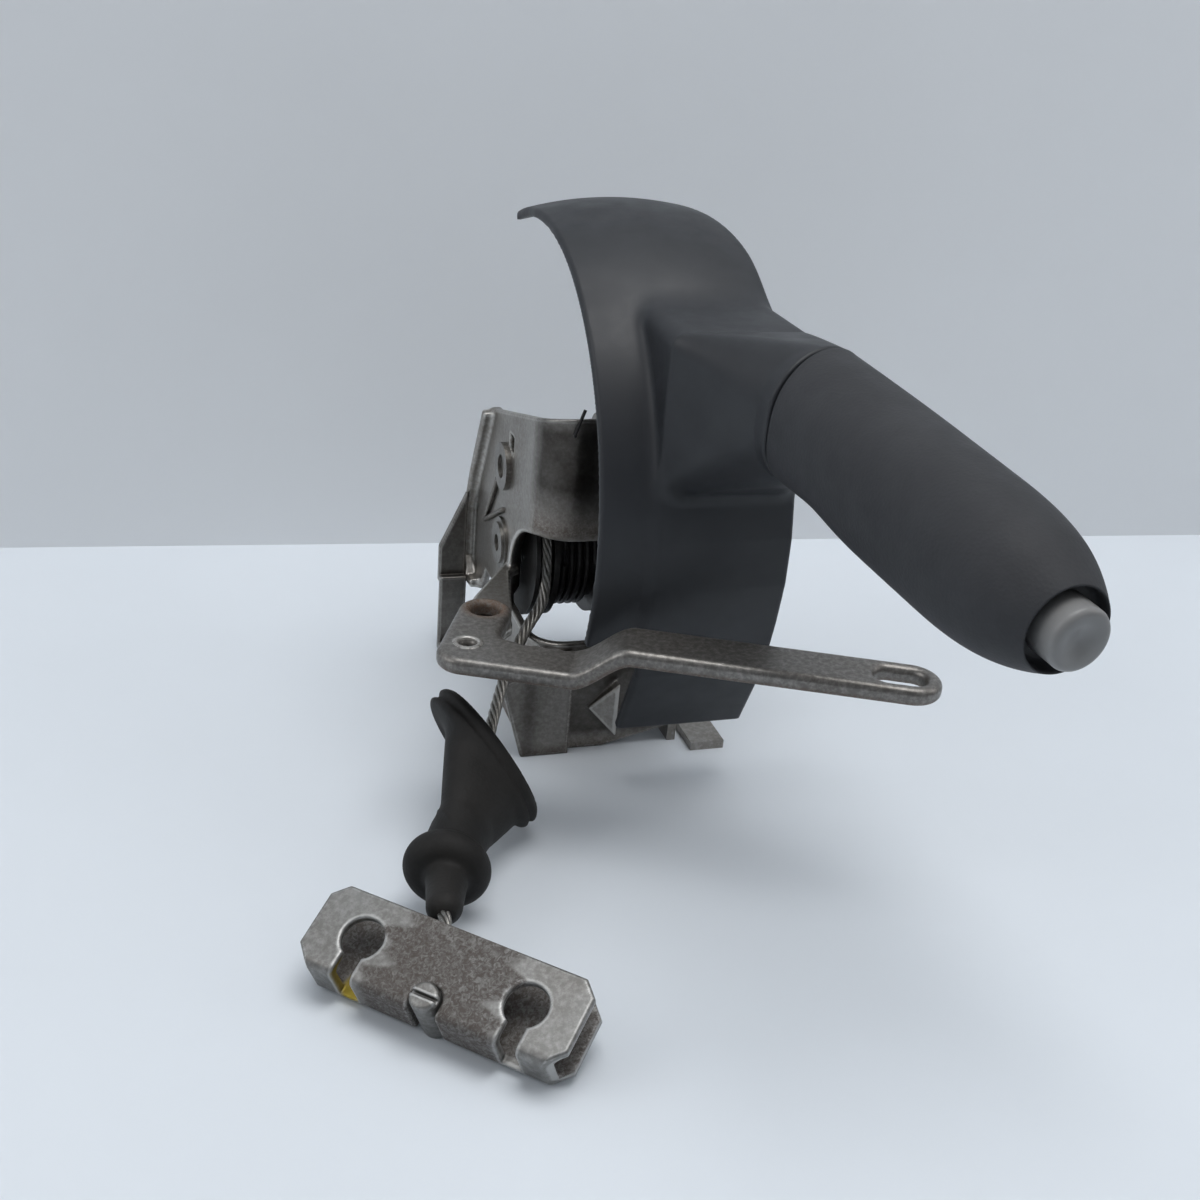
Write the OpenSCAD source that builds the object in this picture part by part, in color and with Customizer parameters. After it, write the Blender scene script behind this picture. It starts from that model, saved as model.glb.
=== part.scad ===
// Hand brake lever: a stamped base with a strap, a covered lever with a grip and push button,
// a cable drum on the base and the pull cable with its rubber boot and equalizer.
// Millimetres. X runs along the pivot axis, Y to the rear, Z up.
// The origin is the middle of the strap's fixing hole, on the strap's top face.

/* [Lever] */
// Length of the soft grip along its own axis
grip_len = 110; // [98:1:122]
// Largest radius of the grip
grip_r = 18; // [16:0.5:19]
// Radius of the push button
button_r = 7.7; // [6.5:0.1:8.5]
// Length of button that shows in front of its recess
button_out = 9; // [8:0.5:12]
// Outer radius of the arc cover about the pivot
cover_r = 85; // [84:0.5:87]
// Width of the arc cover
cover_w = 60; // [58:1:66]
// Wall of the arc cover
cover_t = 3; // [2:0.25:3.5]
// Crown of the arc cover across its width
cover_crown = 4; // [2:0.5:6]

/* [Base] */
// Height of the pivot axis above the floor
pivot_h = 86; // [84:1:90]
// Drop from the pivot axis to the drum shaft
shaft_drop = 28; // [27:0.5:30]
// Sheet thickness of the base
sheet = 3; // [2:0.25:3.5]
// Radius of the pivot pin
pin_r = 6; // [5:0.25:6.5]
// Radius of the drum shaft
shaft_r = 5; // [4:0.25:6]

/* [Strap] */
// Thickness of the strap
strap_t = 5.5; // [4:0.25:6]
// Width of the strap
strap_w = 18; // [15:0.5:19]
// Length of the strap from the fixing hole to the slot
strap_len = 126; // [110:1:140]
// Rise of the strap at its joggle
strap_rise = 10; // [8:0.5:12]
// Radius of the fixing hole
pad_hole_r = 4.5; // [3.5:0.25:5]
// Length of the slot between its round ends
slot_run = 6; // [4:0.5:10]
// Half width of the slot
slot_r = 4.5; // [3:0.25:5]

/* [Drum and cable] */
// Diameter of the cable
cable_d = 4; // [3:0.25:4.5]
// Radius of the drum to the middle of the cable
drum_r = 24; // [23:0.5:25]
// Wire of the drum spring
coil_d = 2.2; // [1.5:0.1:2.4]

/* [Equalizer] */
// Length of the equalizer
eq_len = 78; // [72:1:86]
// Depth of the equalizer
eq_w = 24; // [22:0.5:26]
// Height of the equalizer
eq_h = 14; // [12:0.5:15]
// Radius of the keyhole's round end
key_r = 5.8; // [4.5:0.1:6.5]
// Distance between the two keyholes
key_pitch = 48; // [42:1:52]

/* [Fits] */
// Radial clearance of a running pin
running = 0.05; // [0.02:0.01:0.1]
// Gap between neighbours that pass each other
gap = 0.4; // [0.35:0.05:0.6]

/* [Hidden] */
$fn = 64;
// Strap frame: turned in plan, with the fixing hole at its own zero
strap_turn = -25;
pad_at = [-25.4, -54.4];
pad_z = 60;
lug_r = 8.3;
bar_v = [-19, -19 - strap_w];
scallop_r = 4;
scallop_d = 1.2;
scallop_pitch = 6;
joggle = [32, 50];
// Left wall, bend and front wall of the base
wall_x = -7;
front_y = -45;
bend_r = 13;
wall_top = 119;
flat_x = wall_x + bend_r;
flat_y = front_y + bend_r;
right_x = 44;
cut_x = 15;
cut_z = pivot_h - 4;
foot_w = 16;
lip = 9;
flange_w = 4;
window = [40, 77];
arch_left = 4.2;
arch_r = 22;
arch_right = 54;
lip_run = 30;
// Drum, link, arm and ratchet side by side along X
shaft_z = pivot_h - shaft_drop;
cable_x = 2.6;
drum_x = [-1.2, 26];
lip_side = drum_x[0] - gap - wall_x;
coil_x = [9.5, 20.5];
coil_r = drum_r - 2.5;
flange_x = 21.5;
link_x = [29.5, 32];
arm_x = [34, 38];
pawl_x = [40.4, 43.4];
crank = [16, 5];
crank_r = 4;
link_r = 7.5;
pin_out = right_x + sheet;
// Lever: places about the pivot axis, in Y and Z
hub_r = 15;
bush_r = 8.5;
cover_in = cover_r - cover_t;
tip_a = 112;
foot_a = -20;
lug_a = 70;
neck_x = [16, cover_w - 0.8];
neck_z = [20, 70];
seam = [46, -cover_r - 33, 54];
grip_drop = 4.07;
grip_yaw = 5.1;
// The grip is taller than wide: its upper side rises towards the seam
grip_rise = 4.5;
seam_gap = 0.15;
rise_turn = 1.8;
tube_r = 9.5;
tube_in = 7;
tube_s = [14, 78];
rod_r = 3;
rod_end = 31;
collar_s = 70;
seat_s = [30, 34];
recess_r = button_r + 3;
recess_d = 4;
spring_wire = 0.9;
spring_at = tube_in - 2;
// Pawl and ratchet sector about the pivot axis
pawl_at = [-cover_in + 9, 16];
pawl_pin_r = 3;
tail_y = -cover_r + 1;
teeth_r = 58;
tooth_d = 2.5;
tooth_n = 14;
tooth_a = 4;
sector_a = [0, 56];
rivet_r = 3;
head_t = 1.9;
rivet_at = 32;
// Cable route from the drum to the barrel end
cable_r = cable_d / 2;
eq_at = [-64.4, -175.1, 0.2];
eq_turn = [27, 0, -43.7];
eq_t = 2.5;
key_neck = 2.8;
barrel_r = 3.8;
barrel_y = 3.6;
barrel_h = eq_h + 3.5;
route = [
    [cable_x, -drum_r, shaft_z], [cable_x - 0.1, -drum_r - 0.6, shaft_z - 5],
    [0.2, -drum_r - 4.8, shaft_z - 10.5], [-6.5, -36.5, 42.5], [-13.4, -45, 36],
    [-19, -55, 30.5], [-24, -66, 26.5], [-30, -81, 22.5],
    [-38, -100, 18.5], [-50, -125, 16], [-55.5, -146, 17.6], [-57.4, -155, 17.6],
    [-60.5, -165.5, 12.8], [-63.2, -173.9, 8.8]
];
boot_at = [-28.3, -80.8, 23.4];
boot_half = [24, 17];
boot_rim = 6;
bulb_at = route[9];
bulb_r = 12.5;
neck_at = [-45, -114, 17.5];
nozzle_r = 5;
pale = "silver";
steel = "dimgray";
dark = "#2b2d30";

function unit(v) = v / norm(v);
function smooth(p, i, t) =
    let (n = len(p) - 1, a = p[max(i - 1, 0)], b = p[i], c = p[min(i + 1, n)], d = p[min(i + 2, n)])
    0.5 * (2 * b + (c - a) * t + (2 * a - 5 * b + 4 * c - d) * t * t
        + (3 * b - a - 3 * c + d) * t * t * t);
function curve(p, k) = concat(
    [for (i = [0:len(p) - 2], j = [0:k - 1]) smooth(p, i, j / k)], [p[len(p) - 1]]);
function tangent(p, i) = unit(p[min(i + 1, len(p) - 1)] - p[max(i - 1, 0)]);
function ring(c, t, r, n) =
    let (u = unit(cross(t, [1, 0, 0])), v = cross(t, u))
    [for (k = [0:n - 1]) c + r * (cos(360 * k / n) * u + sin(360 * k / n) * v)];
function on_circle(r, a) = [-r * cos(a), r * sin(a)];

module placed() translate([-pad_at[0], -pad_at[1], -pad_z]) children();
module about_pivot() translate([0, 0, pivot_h]) children();
module about_shaft() translate([0, 0, shaft_z]) children();
// Extrudes a Y-Z outline along X
module slab(x0, x1) translate([x0, 0, 0]) rotate([90, 0, 90]) linear_extrude(x1 - x0) children();
module rod_x(r, x0, x1) translate([x0, 0, 0]) rotate([0, 90, 0]) cylinder(r = r, h = x1 - x0);
module on_strap() translate([pad_at[0], pad_at[1], 0]) rotate(strap_turn) children();
module on_grip() about_pivot() translate(seam) rotate([90 + grip_drop, 0, grip_yaw]) children();
module on_eq() translate(eq_at) rotate(eq_turn) children();
module swept(p, r, n) {
    m = len(p);
    pts = [for (i = [0:m - 1]) each ring(p[i], tangent(p, i), r, n)];
    sides = [for (i = [0:m - 2], k = [0:n - 1])
        [i * n + k, i * n + (k + 1) % n, (i + 1) * n + (k + 1) % n, (i + 1) * n + k]];
    ends = [[for (k = [0:n - 1]) n - 1 - k], [for (k = [0:n - 1]) (m - 1) * n + k]];
    polyhedron(pts, concat(sides, ends), 4);
}
module wire(a, b, r) {
    d = b - a;
    translate(a)
        rotate([0, acos(d[2] / norm(d)), atan2(d[1], d[0])])
            cylinder(r = r, h = norm(d), $fn = 24);
    translate(b) sphere(r = 1.1 * r, $fn = 24);
}

// Base
rear_edge = [[22, 99], [37, 71], [43, 56], [43, 35], [36, 27], [28, 28]];
module left_wall() slab(wall_x, wall_x + sheet) polygon(concat(
    [[flat_y, 0], [flat_y, wall_top]], rear_edge,
    [[22, 38], [10, 38], [2, 28], [-9, 10], [-9, 0]]));
module rear_flange() slab(wall_x - flange_w, wall_x + sheet) polygon(concat(rear_edge,
    [[28, 31], [35, 30], [40, 36], [40, 55], [34.4, 70], [19, 98]]));
module bend() translate([flat_x, flat_y, 0]) rotate([0, 0, 180])
    rotate_extrude(angle = 90) translate([bend_r - sheet, 0]) square([sheet, wall_top]);
module front_wall() translate([0, front_y + sheet, 0]) rotate([90, 0, 0]) linear_extrude(sheet)
    polygon([[flat_x, 0], [20, 0], [right_x, 6], [right_x, cut_z], [cut_x, cut_z],
        [cut_x, wall_top], [flat_x, wall_top]]);
// The window is cut from the corner, so that it runs round the bend; grow widens it for the lip
module window_cut(grow) rotate([90, 0, -45]) translate([0, 0, -40]) linear_extrude(140) {
    left = arch_left - grow;
    top = window[1] + grow;
    r = arch_r + grow;
    right = arch_right;
    polygon([[left, window[0]], [left, top - r], [left + r, top - r], [left + r, top], [right, top],
        [right, window[0]]]);
    translate([left + r, top - r]) circle(r = r);
}
module corner_shell(t) {
    slab(wall_x, wall_x + lip_side) translate([flat_y, 0]) square([lip_run, wall_top - 20]);
    translate([flat_x, flat_y, 0]) rotate([0, 0, 180]) rotate_extrude(angle = 90)
        translate([bend_r - t, 0]) square([t, wall_top - 20]);
    translate([flat_x, front_y, 0]) cube([cut_x + 12 - flat_x, t, wall_top - 20]);
}
module window_lip() intersection() {
    corner_shell(lip);
    difference() {
        window_cut(sheet);
        window_cut(0);
    }
}
// Flat ear of the left wall that carries the strap's lug
module strap_ear() translate([0, 0, pad_z - strap_t - sheet]) linear_extrude(sheet) {
    ear_y = -shaft_r - 4 - gap;
    polygon([[wall_x + sheet, ear_y - 4], [wall_x + sheet, ear_y], [wall_x - 1, ear_y], [-24, -34],
        [-33, -51], [-18, -58], [-14, -44], [wall_x - 1, ear_y - 7]]);
    translate(pad_at) circle(r = lug_r);
}
module dimple() polyhedron(
    [[14, front_y, 16], [23, front_y, 22], [23, front_y, 10], [21, front_y - 3.5, 15.5],
        [20, front_y + 1, 16]],
    [[0, 3, 1], [1, 3, 2], [2, 3, 0], [0, 1, 4], [1, 2, 4], [2, 0, 4]]);
module pad_bore() translate([pad_at[0], pad_at[1], 0]) cylinder(r = pad_hole_r, h = pad_z + 20);
module base_shell() difference() {
    union() {
        left_wall();
        rear_flange();
        bend();
        front_wall();
        window_lip();
        dimple();
    }
    window_cut(0);
    about_shaft() rod_x(shaft_r + 2, wall_x + sheet, drum_x[0]);
    slab(wall_x - 10, right_x + 1) polygon([rear_edge[0], [rear_edge[0][0] + 10, wall_top + 10],
        [front_y - 5, wall_top + 10], [front_y - 5, wall_top]]);
}
module base_bracket() color(steel) placed() difference() {
    union() {
        base_shell();
        strap_ear();
    }
    pad_bore();
    about_pivot() rod_x(pin_r, wall_x - 1, wall_x + sheet + 1);
    about_shaft() rod_x(shaft_r, wall_x - 1, wall_x + sheet + 1);
    translate([wall_x - 1, -9, pivot_h + 7]) cube([sheet + 2, 6, 6]);
    translate([wall_x - 1, -1, hook_z]) rotate([0, 90, 0]) cylinder(r = hair_r, h = sheet + 2, $fn = 24);
    wire(leg_top, leg_out, coil_d / 2 - 0.05);
}
module lower_panel() color(steel) placed() translate([0, front_y, 0]) rotate([90, 0, 0])
    linear_extrude(sheet) polygon([[-9, 0], [flat_x + 1.5, 0], [flat_x + 1.5, window[0] - 2],
        [-10, window[0] - 2], [-10.5, 31], [-17, 28]]);
module side_plate() color(steel) placed() difference() {
    union() {
        slab(right_x, right_x + sheet) polygon([[front_y, 0], [30, 0], [30, pivot_h - 31],
            [20, pivot_h + 18], [-8, pivot_h + 36], [-34, pivot_h + 32], [front_y, pivot_h + 10]]);
        translate([right_x + 6, front_y - 8, 0]) cube([12, 40, sheet]);
        translate([right_x, -20, 0]) cube([foot_w + sheet, 40, sheet]);
    }
    about_pivot() rod_x(pin_r, right_x - 1, right_x + sheet + 1);
    about_shaft() rod_x(shaft_r, right_x - 1, right_x + sheet + 1);
    about_pivot() sector_rivet_pair(rivet_r, right_x - 1, right_x + sheet + 1);
    translate([right_x + sheet + foot_w / 2, 0, -1]) cylinder(r = pad_hole_r, h = sheet + 2);
}
// Leg behind the left wall: a Z-bent strip, sloping at its top, on the flange's outer edge
leg_x = [-21, wall_x - flange_w];
leg_y = 36;
ledge_z = 30;
module rear_leg() color(steel) placed() intersection() {
    slab(leg_x[0], leg_x[1]) polygon([[leg_y, 0], [leg_y, ledge_z - sheet],
        [leg_y + sheet, ledge_z - sheet], [leg_y + sheet, 66], [leg_y, 66],
        [leg_y, ledge_z], [leg_y - sheet, ledge_z], [leg_y - sheet, sheet],
        [leg_y - 9, sheet], [leg_y - 9, 0]]);
    translate([0, leg_y + 20, -1]) rotate([90, 0, 0]) linear_extrude(40)
        polygon([[leg_x[0] - 1, 0], [leg_x[1] + 1, 0], [leg_x[1] + 1, 64], [leg_x[0] - 1, 42]]);
}
module strap_outline() difference() {
    strap_blank();
    for (i = [0 : 2])
        translate([joggle[0] - 3 - scallop_pitch * i, bar_v[0] + scallop_r - scallop_d])
            circle(r = scallop_r);
}
module strap_blank() {
    translate([0, bar_v[1]]) square([joggle[0], strap_w]);
    translate([0, bar_v[1] + lug_r]) circle(r = lug_r);
    translate([-lug_r, bar_v[1] + lug_r]) square([2 * lug_r, -bar_v[1] - lug_r]);
    circle(r = lug_r);
    polygon([[lug_r, bar_v[0] + 6], [lug_r - 1, bar_v[0]], [lug_r + 5, bar_v[0]]]);
}
module mounting_strap() color(steel) placed() difference() {
    on_strap() {
        translate([0, 0, pad_z - strap_t]) linear_extrude(strap_t) strap_outline();
        translate([0, bar_v[0], 0]) rotate([90, 0, 0]) linear_extrude(strap_w) polygon([
            [joggle[0], pad_z - strap_t], [joggle[0], pad_z], [joggle[1], pad_z + strap_rise],
            [joggle[1], pad_z + strap_rise - strap_t]]);
        translate([0, 0, pad_z + strap_rise - strap_t]) linear_extrude(strap_t) {
            translate([joggle[1], bar_v[1]]) square([strap_len - joggle[1] + slot_run / 2, strap_w]);
            translate([strap_len + slot_run / 2, (bar_v[0] + bar_v[1]) / 2]) circle(d = strap_w);
        }
    }
    pad_bore();
    on_strap() {
        translate([0, -25, 0]) cylinder(r = 2.2, h = pad_z + 20);
        for (s = [-1, 1])
            translate([strap_len + s * slot_run / 2, (bar_v[0] + bar_v[1]) / 2, 0])
                cylinder(r = slot_r, h = 100);
        translate([strap_len - slot_run / 2, (bar_v[0] + bar_v[1]) / 2 - slot_r, 0])
            cube([slot_run, 2 * slot_r, 100]);
    }
}
module rivet_head(r, head) difference() {
    rod_x(r + 2.2, wall_x - head, wall_x);
    rod_x(r - 2, wall_x - head - 1, wall_x - head + 1.2);
}
// Stub pivot in the side plate and the ratchet sector
module pivot_pin() color(pale) placed() about_pivot() {
    rod_x(pin_r + 2, arm_x[0] - 4, arm_x[0] - 2);
    rod_x(pin_r, arm_x[0] - 3, pin_out);
    rod_x(pin_r + 2, pin_out, pin_out + 2.4);
}
// Rivet on the pivot's axis that closes the left wall and holds the hairpin
module spring_rivet() color(pale) placed() about_pivot() {
    rivet_head(pin_r, head_t);
    rod_x(pin_r, wall_x, wall_x + sheet);
    rod_x(pin_r + 1.5, wall_x + sheet, wall_x + sheet + 1.2);
}
module drum_shaft() color(pale) placed() about_shaft() {
    rivet_head(shaft_r, head_t);
    rod_x(shaft_r, wall_x, pin_out);
    rod_x(shaft_r + 2, pin_out, pin_out + 2.4);
    difference() {
        rod_x(shaft_r + 4, wall_x - 1, wall_x);
        rod_x(shaft_r, wall_x - 2, wall_x + 1);
    }
}
module sector_rivet_pair(r, x0, x1) for (a = [12, 44]) {
    p = on_circle(rivet_at, a);
    translate([0, p[0], p[1]]) rod_x(r, x0, x1);
}
module ratchet_sector() color(pale) placed() about_pivot() difference() {
    slab(pawl_x[0], right_x) difference() {
        union() {
            circle(r = hub_r);
            polygon(concat([[0, 0], on_circle(teeth_r - tooth_d, sector_a[1])],
                [for (i = [tooth_n - 1:-1:0]) each [
                    on_circle(teeth_r, sector_a[0] + (i + 0.4) * tooth_a),
                    on_circle(teeth_r - tooth_d, sector_a[0] + i * tooth_a)]]));
        }
        circle(r = pin_r);
    }
    sector_rivet_pair(rivet_r, pawl_x[0] - 1, right_x + 1);
}
module sector_rivets() color(pale) placed() about_pivot() {
    sector_rivet_pair(rivet_r, pawl_x[0], right_x + sheet);
    sector_rivet_pair(rivet_r + 1.8, right_x + sheet, right_x + sheet + 1.6);
}
// Hairpin wire on the outside of the left wall, hooked into the wall
hair_r = 0.9;
hook_z = shaft_z + 12.5;
hair_far = [23, shaft_z - 1];
hair_x = wall_x - hair_r;
module hairpin_spring() color(pale) placed() {
    wire([hair_x, pin_r + 0.6, pivot_h - pin_r - 0.6], [hair_x, hair_far[0], hair_far[1]], hair_r);
    wire([hair_x, hair_far[0], hair_far[1]], [hair_x, -1, hook_z], hair_r);
    wire([hair_x, -1, hook_z], [wall_x + sheet, -1, hook_z], hair_r);
}
// Coil round the drum with a straight leg up to the front wall
coil_n = 4;
leg_top = [4.5, front_y + 5.5, wall_top - 10];
leg_out = [2.2, front_y - 1, wall_top - 6];
leg_end = [4.8, front_y - 1.4, wall_top + 2];
module drum_spring() color(dark) placed() swept(concat([leg_end, leg_out, leg_top],
    [for (i = [0:16 * coil_n]) [
        coil_x[0] + (coil_x[1] - coil_x[0]) * i / (16 * coil_n),
        -coil_r * cos(22.5 * i), shaft_z - coil_r * sin(22.5 * i)]]), coil_d / 2, 8);

// Cable
module brake_cable() color(pale) placed() swept(curve(route, 4), cable_r, 12);
module cable_wrap() color(pale) placed() translate([cable_x, 0, shaft_z])
    rotate([0, 90, 0]) rotate([0, 0, -90])
    rotate_extrude(angle = -250) translate([drum_r, 0]) circle(r = cable_r);
module on_boot() translate(boot_at) multmatrix([
    [boot_u[0], boot_v[0], boot_n[0], 0], [boot_u[1], boot_v[1], boot_n[1], 0],
    [boot_u[2], boot_v[2], boot_n[2], 0]]) children();
boot_u = [-0.498, 0.580, 0.644];
boot_v = unit(cross([-0.844, -0.319, -0.408], boot_u));
boot_n = cross(boot_u, boot_v);
module boot_oval(h, less) linear_extrude(h) polygon([for (k = [0:31])
    [(boot_half[0] - less) * cos(k * 11.25), (boot_half[1] - less) * sin(k * 11.25)]]);
module boot_end(r) translate(neck_at) sphere(r = r, $fn = 32);
module along(a, b, r0, r1, over) {
    d = b - a;
    translate(a) rotate([0, acos(d[2] / norm(d)), atan2(d[1], d[0])])
        cylinder(r1 = r0, r2 = r1, h = norm(d) + over);
}
module cable_boot() color(dark) placed() difference() {
    union() {
        on_boot() boot_oval(boot_rim, 0);
        hull() {
            on_boot() boot_oval(boot_rim, 5);
            boot_end(8.5);
        }
        along(neck_at, bulb_at, 8.5, 9, 0);
        translate(bulb_at) sphere(r = bulb_r);
        along(bulb_at, route[10], nozzle_r + 1, nozzle_r, 0);
    }
    hull() {
        on_boot() translate([0, 0, -1]) boot_oval(boot_rim, 8);
        boot_end(5.5);
    }
    along(neck_at, bulb_at, cable_r, cable_r, 0.5);
    along(bulb_at, route[10], cable_r, cable_r, 1);
}
module cable_nipple() color(steel) placed() on_eq() difference() {
    translate([0, barrel_y, -1]) cylinder(r = barrel_r, h = barrel_h);
    translate([-barrel_r, barrel_y - 0.5, barrel_h - 1.8]) cube([2 * barrel_r, 1, 2]);
}
module key_cut(x) {
    translate([x, eq_w / 2, eq_t + gap]) cylinder(r = key_r, h = eq_h);
    translate([x - key_neck, -1, eq_t + gap]) cube([2 * key_neck, eq_w / 2 + 1, eq_h]);
}
module equalizer() color(pale) placed() on_eq() difference() {
    half = eq_len / 2;
    linear_extrude(eq_h) polygon([[-half, 5], [5 - half, 0], [half - 5, 0], [half, 5],
        [half, eq_w - 4], [half - 4, eq_w], [4 - half, eq_w], [-half, eq_w - 4]]);
    translate([-eq_len / 2 - 1, eq_t, eq_t]) cube([eq_len + 2, eq_w, eq_h - 2 * eq_t]);
    for (s = [-1, 1]) key_cut(s * key_pitch / 2);
    translate([0, barrel_y, -2]) cylinder(r = barrel_r + gap, h = eq_h + 4);
    translate([-barrel_r - gap, -1, -2]) cube([2 * (barrel_r + gap), barrel_y + 1, eq_h + 4]);
}

// Lever
clip_r = cover_in + crown_at(arm_x[1] + 1.8) - 0.1;
module lever_outline() {
    circle(r = hub_r);
    translate(crank) circle(r = link_r);
    polygon([[-6, 13.6], [-60, 44], [seam[1] + 36, 53], [seam[1] + 14, seam[2] + 7],
        [seam[1] + 1, seam[2] + 6], [seam[1] + 1, seam[2] - 6], [seam[1] + 18, seam[2] - 10],
        [-80, 34], [-58, 18], [0, -15], [10, 0]]);
    intersection() {
        circle(r = clip_r);
        rotate(180 - lug_a) translate([10, -6]) square([cover_r, 12]);
    }
}
module lever_arm() color(steel) placed() about_pivot() difference() {
    slab(arm_x[0], arm_x[1]) difference() {
        lever_outline();
        circle(r = bush_r);
        translate(crank) circle(r = crank_r);
        translate(pawl_at) circle(r = pawl_pin_r);
    }
}
module pivot_bush() color("#b08d57") placed() about_pivot() difference() {
    rod_x(bush_r, arm_x[0] - 1.5, arm_x[1] + 1.5);
    rod_x(pin_r + running, arm_x[0] - 2, arm_x[1] + 2);
}
module link_pin() color(pale) placed() about_pivot() translate([0, crank[0], crank[1]])
    rod_x(crank_r, link_x[0] - 1, arm_x[1]);
module pawl_pin() color(pale) placed() about_pivot() translate([0, pawl_at[0], pawl_at[1]])
    rod_x(pawl_pin_r, arm_x[0], pawl_x[1]);
module lever_tube() color(steel) placed() difference() {
    on_grip() translate([0, 0, -tube_s[0]]) difference() {
        cylinder(r = tube_r, h = tube_s[0] + tube_s[1]);
        translate([0, 0, -1]) cylinder(r = tube_in, h = tube_s[0] + tube_s[1] + 2);
    }
    about_pivot() slab(arm_x[0], arm_x[1]) lever_outline();
}
module cover_clip() color(dark) placed() about_pivot() difference() {
    slab(arm_x[0] - 4, arm_x[1] + 1.8) intersection() {
        circle(r = clip_r);
        rotate(180 - lug_a) translate([cover_in - 9, -9]) square([20, 18]);
    }
    slab(arm_x[0], arm_x[1]) lever_outline();
}
module seam_disc(less, over) for (up = [0, grip_rise])
    translate(seam) rotate([90 + grip_drop, 0, grip_yaw]) translate([0, up, -1])
        cylinder(r = grip_r - 0.8 - less, h = 1 + over, $fn = 32);
module neck_slab(grow, deep) translate([neck_x[0] + grow, -cover_r, neck_z[0] + grow])
    cube([neck_x[1] - neck_x[0] - 2 * grow, deep, neck_z[1] - neck_z[0] - 2 * grow]);
module neck(grow, deep, over) hull() {
    neck_slab(grow, deep);
    seam_disc(grow, over);
}
// Raised skirt below the neck, in Y and Z about the pivot
skirt_out = concat([for (a = [15:-10:-15]) on_circle(cover_r + cover_t, a)],
    [[4 - cover_r, -40], [17 - cover_r, -66]]);
skirt_in = concat([[19.5 - cover_r, -64.5], [7 - cover_r, -39]],
    [for (a = [-15:10:15]) on_circle(cover_r - cover_t / 2, a)]);
// Band with a crowned profile, turned about the pivot axis from its foot to its tip
function crown_at(x) = cover_crown * (1 - pow(2 * x / cover_w - 1, 2));
crown_x = [for (i = [0:8]) cover_w * i / 8];
module band() rotate([90, 0, 90]) rotate([0, 0, 180 - tip_a]) rotate_extrude(angle = tip_a - foot_a)
    polygon(concat([for (x = crown_x) [cover_in + crown_at(x), x]],
        [for (i = [8:-1:0]) [cover_r + crown_at(crown_x[i]), crown_x[i]]]));
// Long round of the upper right corner, seen from above
corner_y = -48;
corner_run = 82;
module corner_cut() linear_extrude(2 * cover_r) polygon(concat(
    [for (t = [0:15:90]) [cover_w / 2 + (cover_w / 2 + 0.5) * cos(t), corner_y + corner_run * sin(t)]],
    [[cover_w + 10, corner_y + corner_run], [cover_w + 10, corner_y]]));
module arc_cover() color(dark) placed() about_pivot() difference() {
    union() {
        band();
        difference() {
            union() {
                slab(neck_x[0] + 2, cover_w) polygon(concat(skirt_out, skirt_in));
                neck(0, 42, 0);
            }
            rod_x(cover_in + 1, -1, cover_w + 1);
        }
    }
    neck(2.6, 44, 1);
    corner_cut();
}
module grip_form() rotate_extrude() polygon([[0, 0], [grip_r - 0.8, 0], [grip_r - 0.3, 20], [grip_r, 50],
    [grip_r - 0.2, 72], [grip_r - 0.7, grip_len - 24], [grip_r - 1.8, grip_len - 14],
    [grip_r - 3.8, grip_len - 7], [grip_r - 6.2, grip_len - 2], [recess_r, grip_len], [0, grip_len]]);
module grip_sleeve() color(dark) placed() on_grip() difference() {
    hull() {
        grip_form();
        translate([0, grip_rise, 0]) rotate([rise_turn, 0, 0]) grip_form();
    }
    translate([-2 * grip_r, -2 * grip_r, -grip_r]) cube([4 * grip_r, 4 * grip_r, grip_r + seam_gap]);
    translate([0, 0, -1]) cylinder(r = tube_r, h = tube_s[1] + 1);
    translate([0, 0, tube_s[1] - 1]) cylinder(r = guide_r, h = grip_len);
    translate([0, 0, grip_len - recess_d]) cylinder(r = recess_r, h = 2 * recess_d);
}
guide_r = button_r + 1.5;
module button_guide() color("gray") placed() on_grip() rotate_extrude() polygon([
    [button_r + running, tube_s[1] + 8], [guide_r, tube_s[1] + 8], [guide_r, grip_len - recess_d],
    [button_r + running, grip_len - recess_d]]);
module spring_seat() color(pale) placed() on_grip() translate([0, 0, seat_s[0]]) difference() {
    cylinder(r = tube_in, h = seat_s[1] - seat_s[0]);
    translate([0, 0, -1]) cylinder(r = rod_r + running, h = 6);
}
button_s = [tube_s[1] + 10, grip_len - recess_d + button_out];
module push_button() color(pale) placed() on_grip() rotate_extrude() polygon([
    [0, button_s[0]], [button_r, button_s[0]], [button_r, button_s[1] - 1.2], [button_r - 1.2, button_s[1]],
    [button_r - 2.4, button_s[1]], [button_r - 4.5, button_s[1] - 0.9], [0, button_s[1] - 1.4]]);
module release_rod() color(pale) placed() {
    on_grip() {
        translate([0, 0, -rod_end]) cylinder(r = rod_r, h = rod_end + button_s[0]);
        translate([0, 0, collar_s]) cylinder(r = tube_in - gap, h = 3);
    }
    about_pivot() translate([pawl_x[0] - 0.2, tail_y - 6 - gap, pawl_at[1] + 12])
        cube([7, 6, seam[2] - pawl_at[1] - 8]);
}
module button_spring() color(pale) placed() on_grip() {
    n = 80;
    low = seat_s[1] + spring_wire;
    rise = collar_s - low - spring_wire;
    rotate([0, -90, 0]) swept([for (i = [0:n]) [
        low + rise * i / n, spring_at * cos(36 * i), spring_at * sin(36 * i)]], spring_wire, 8);
}
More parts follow.
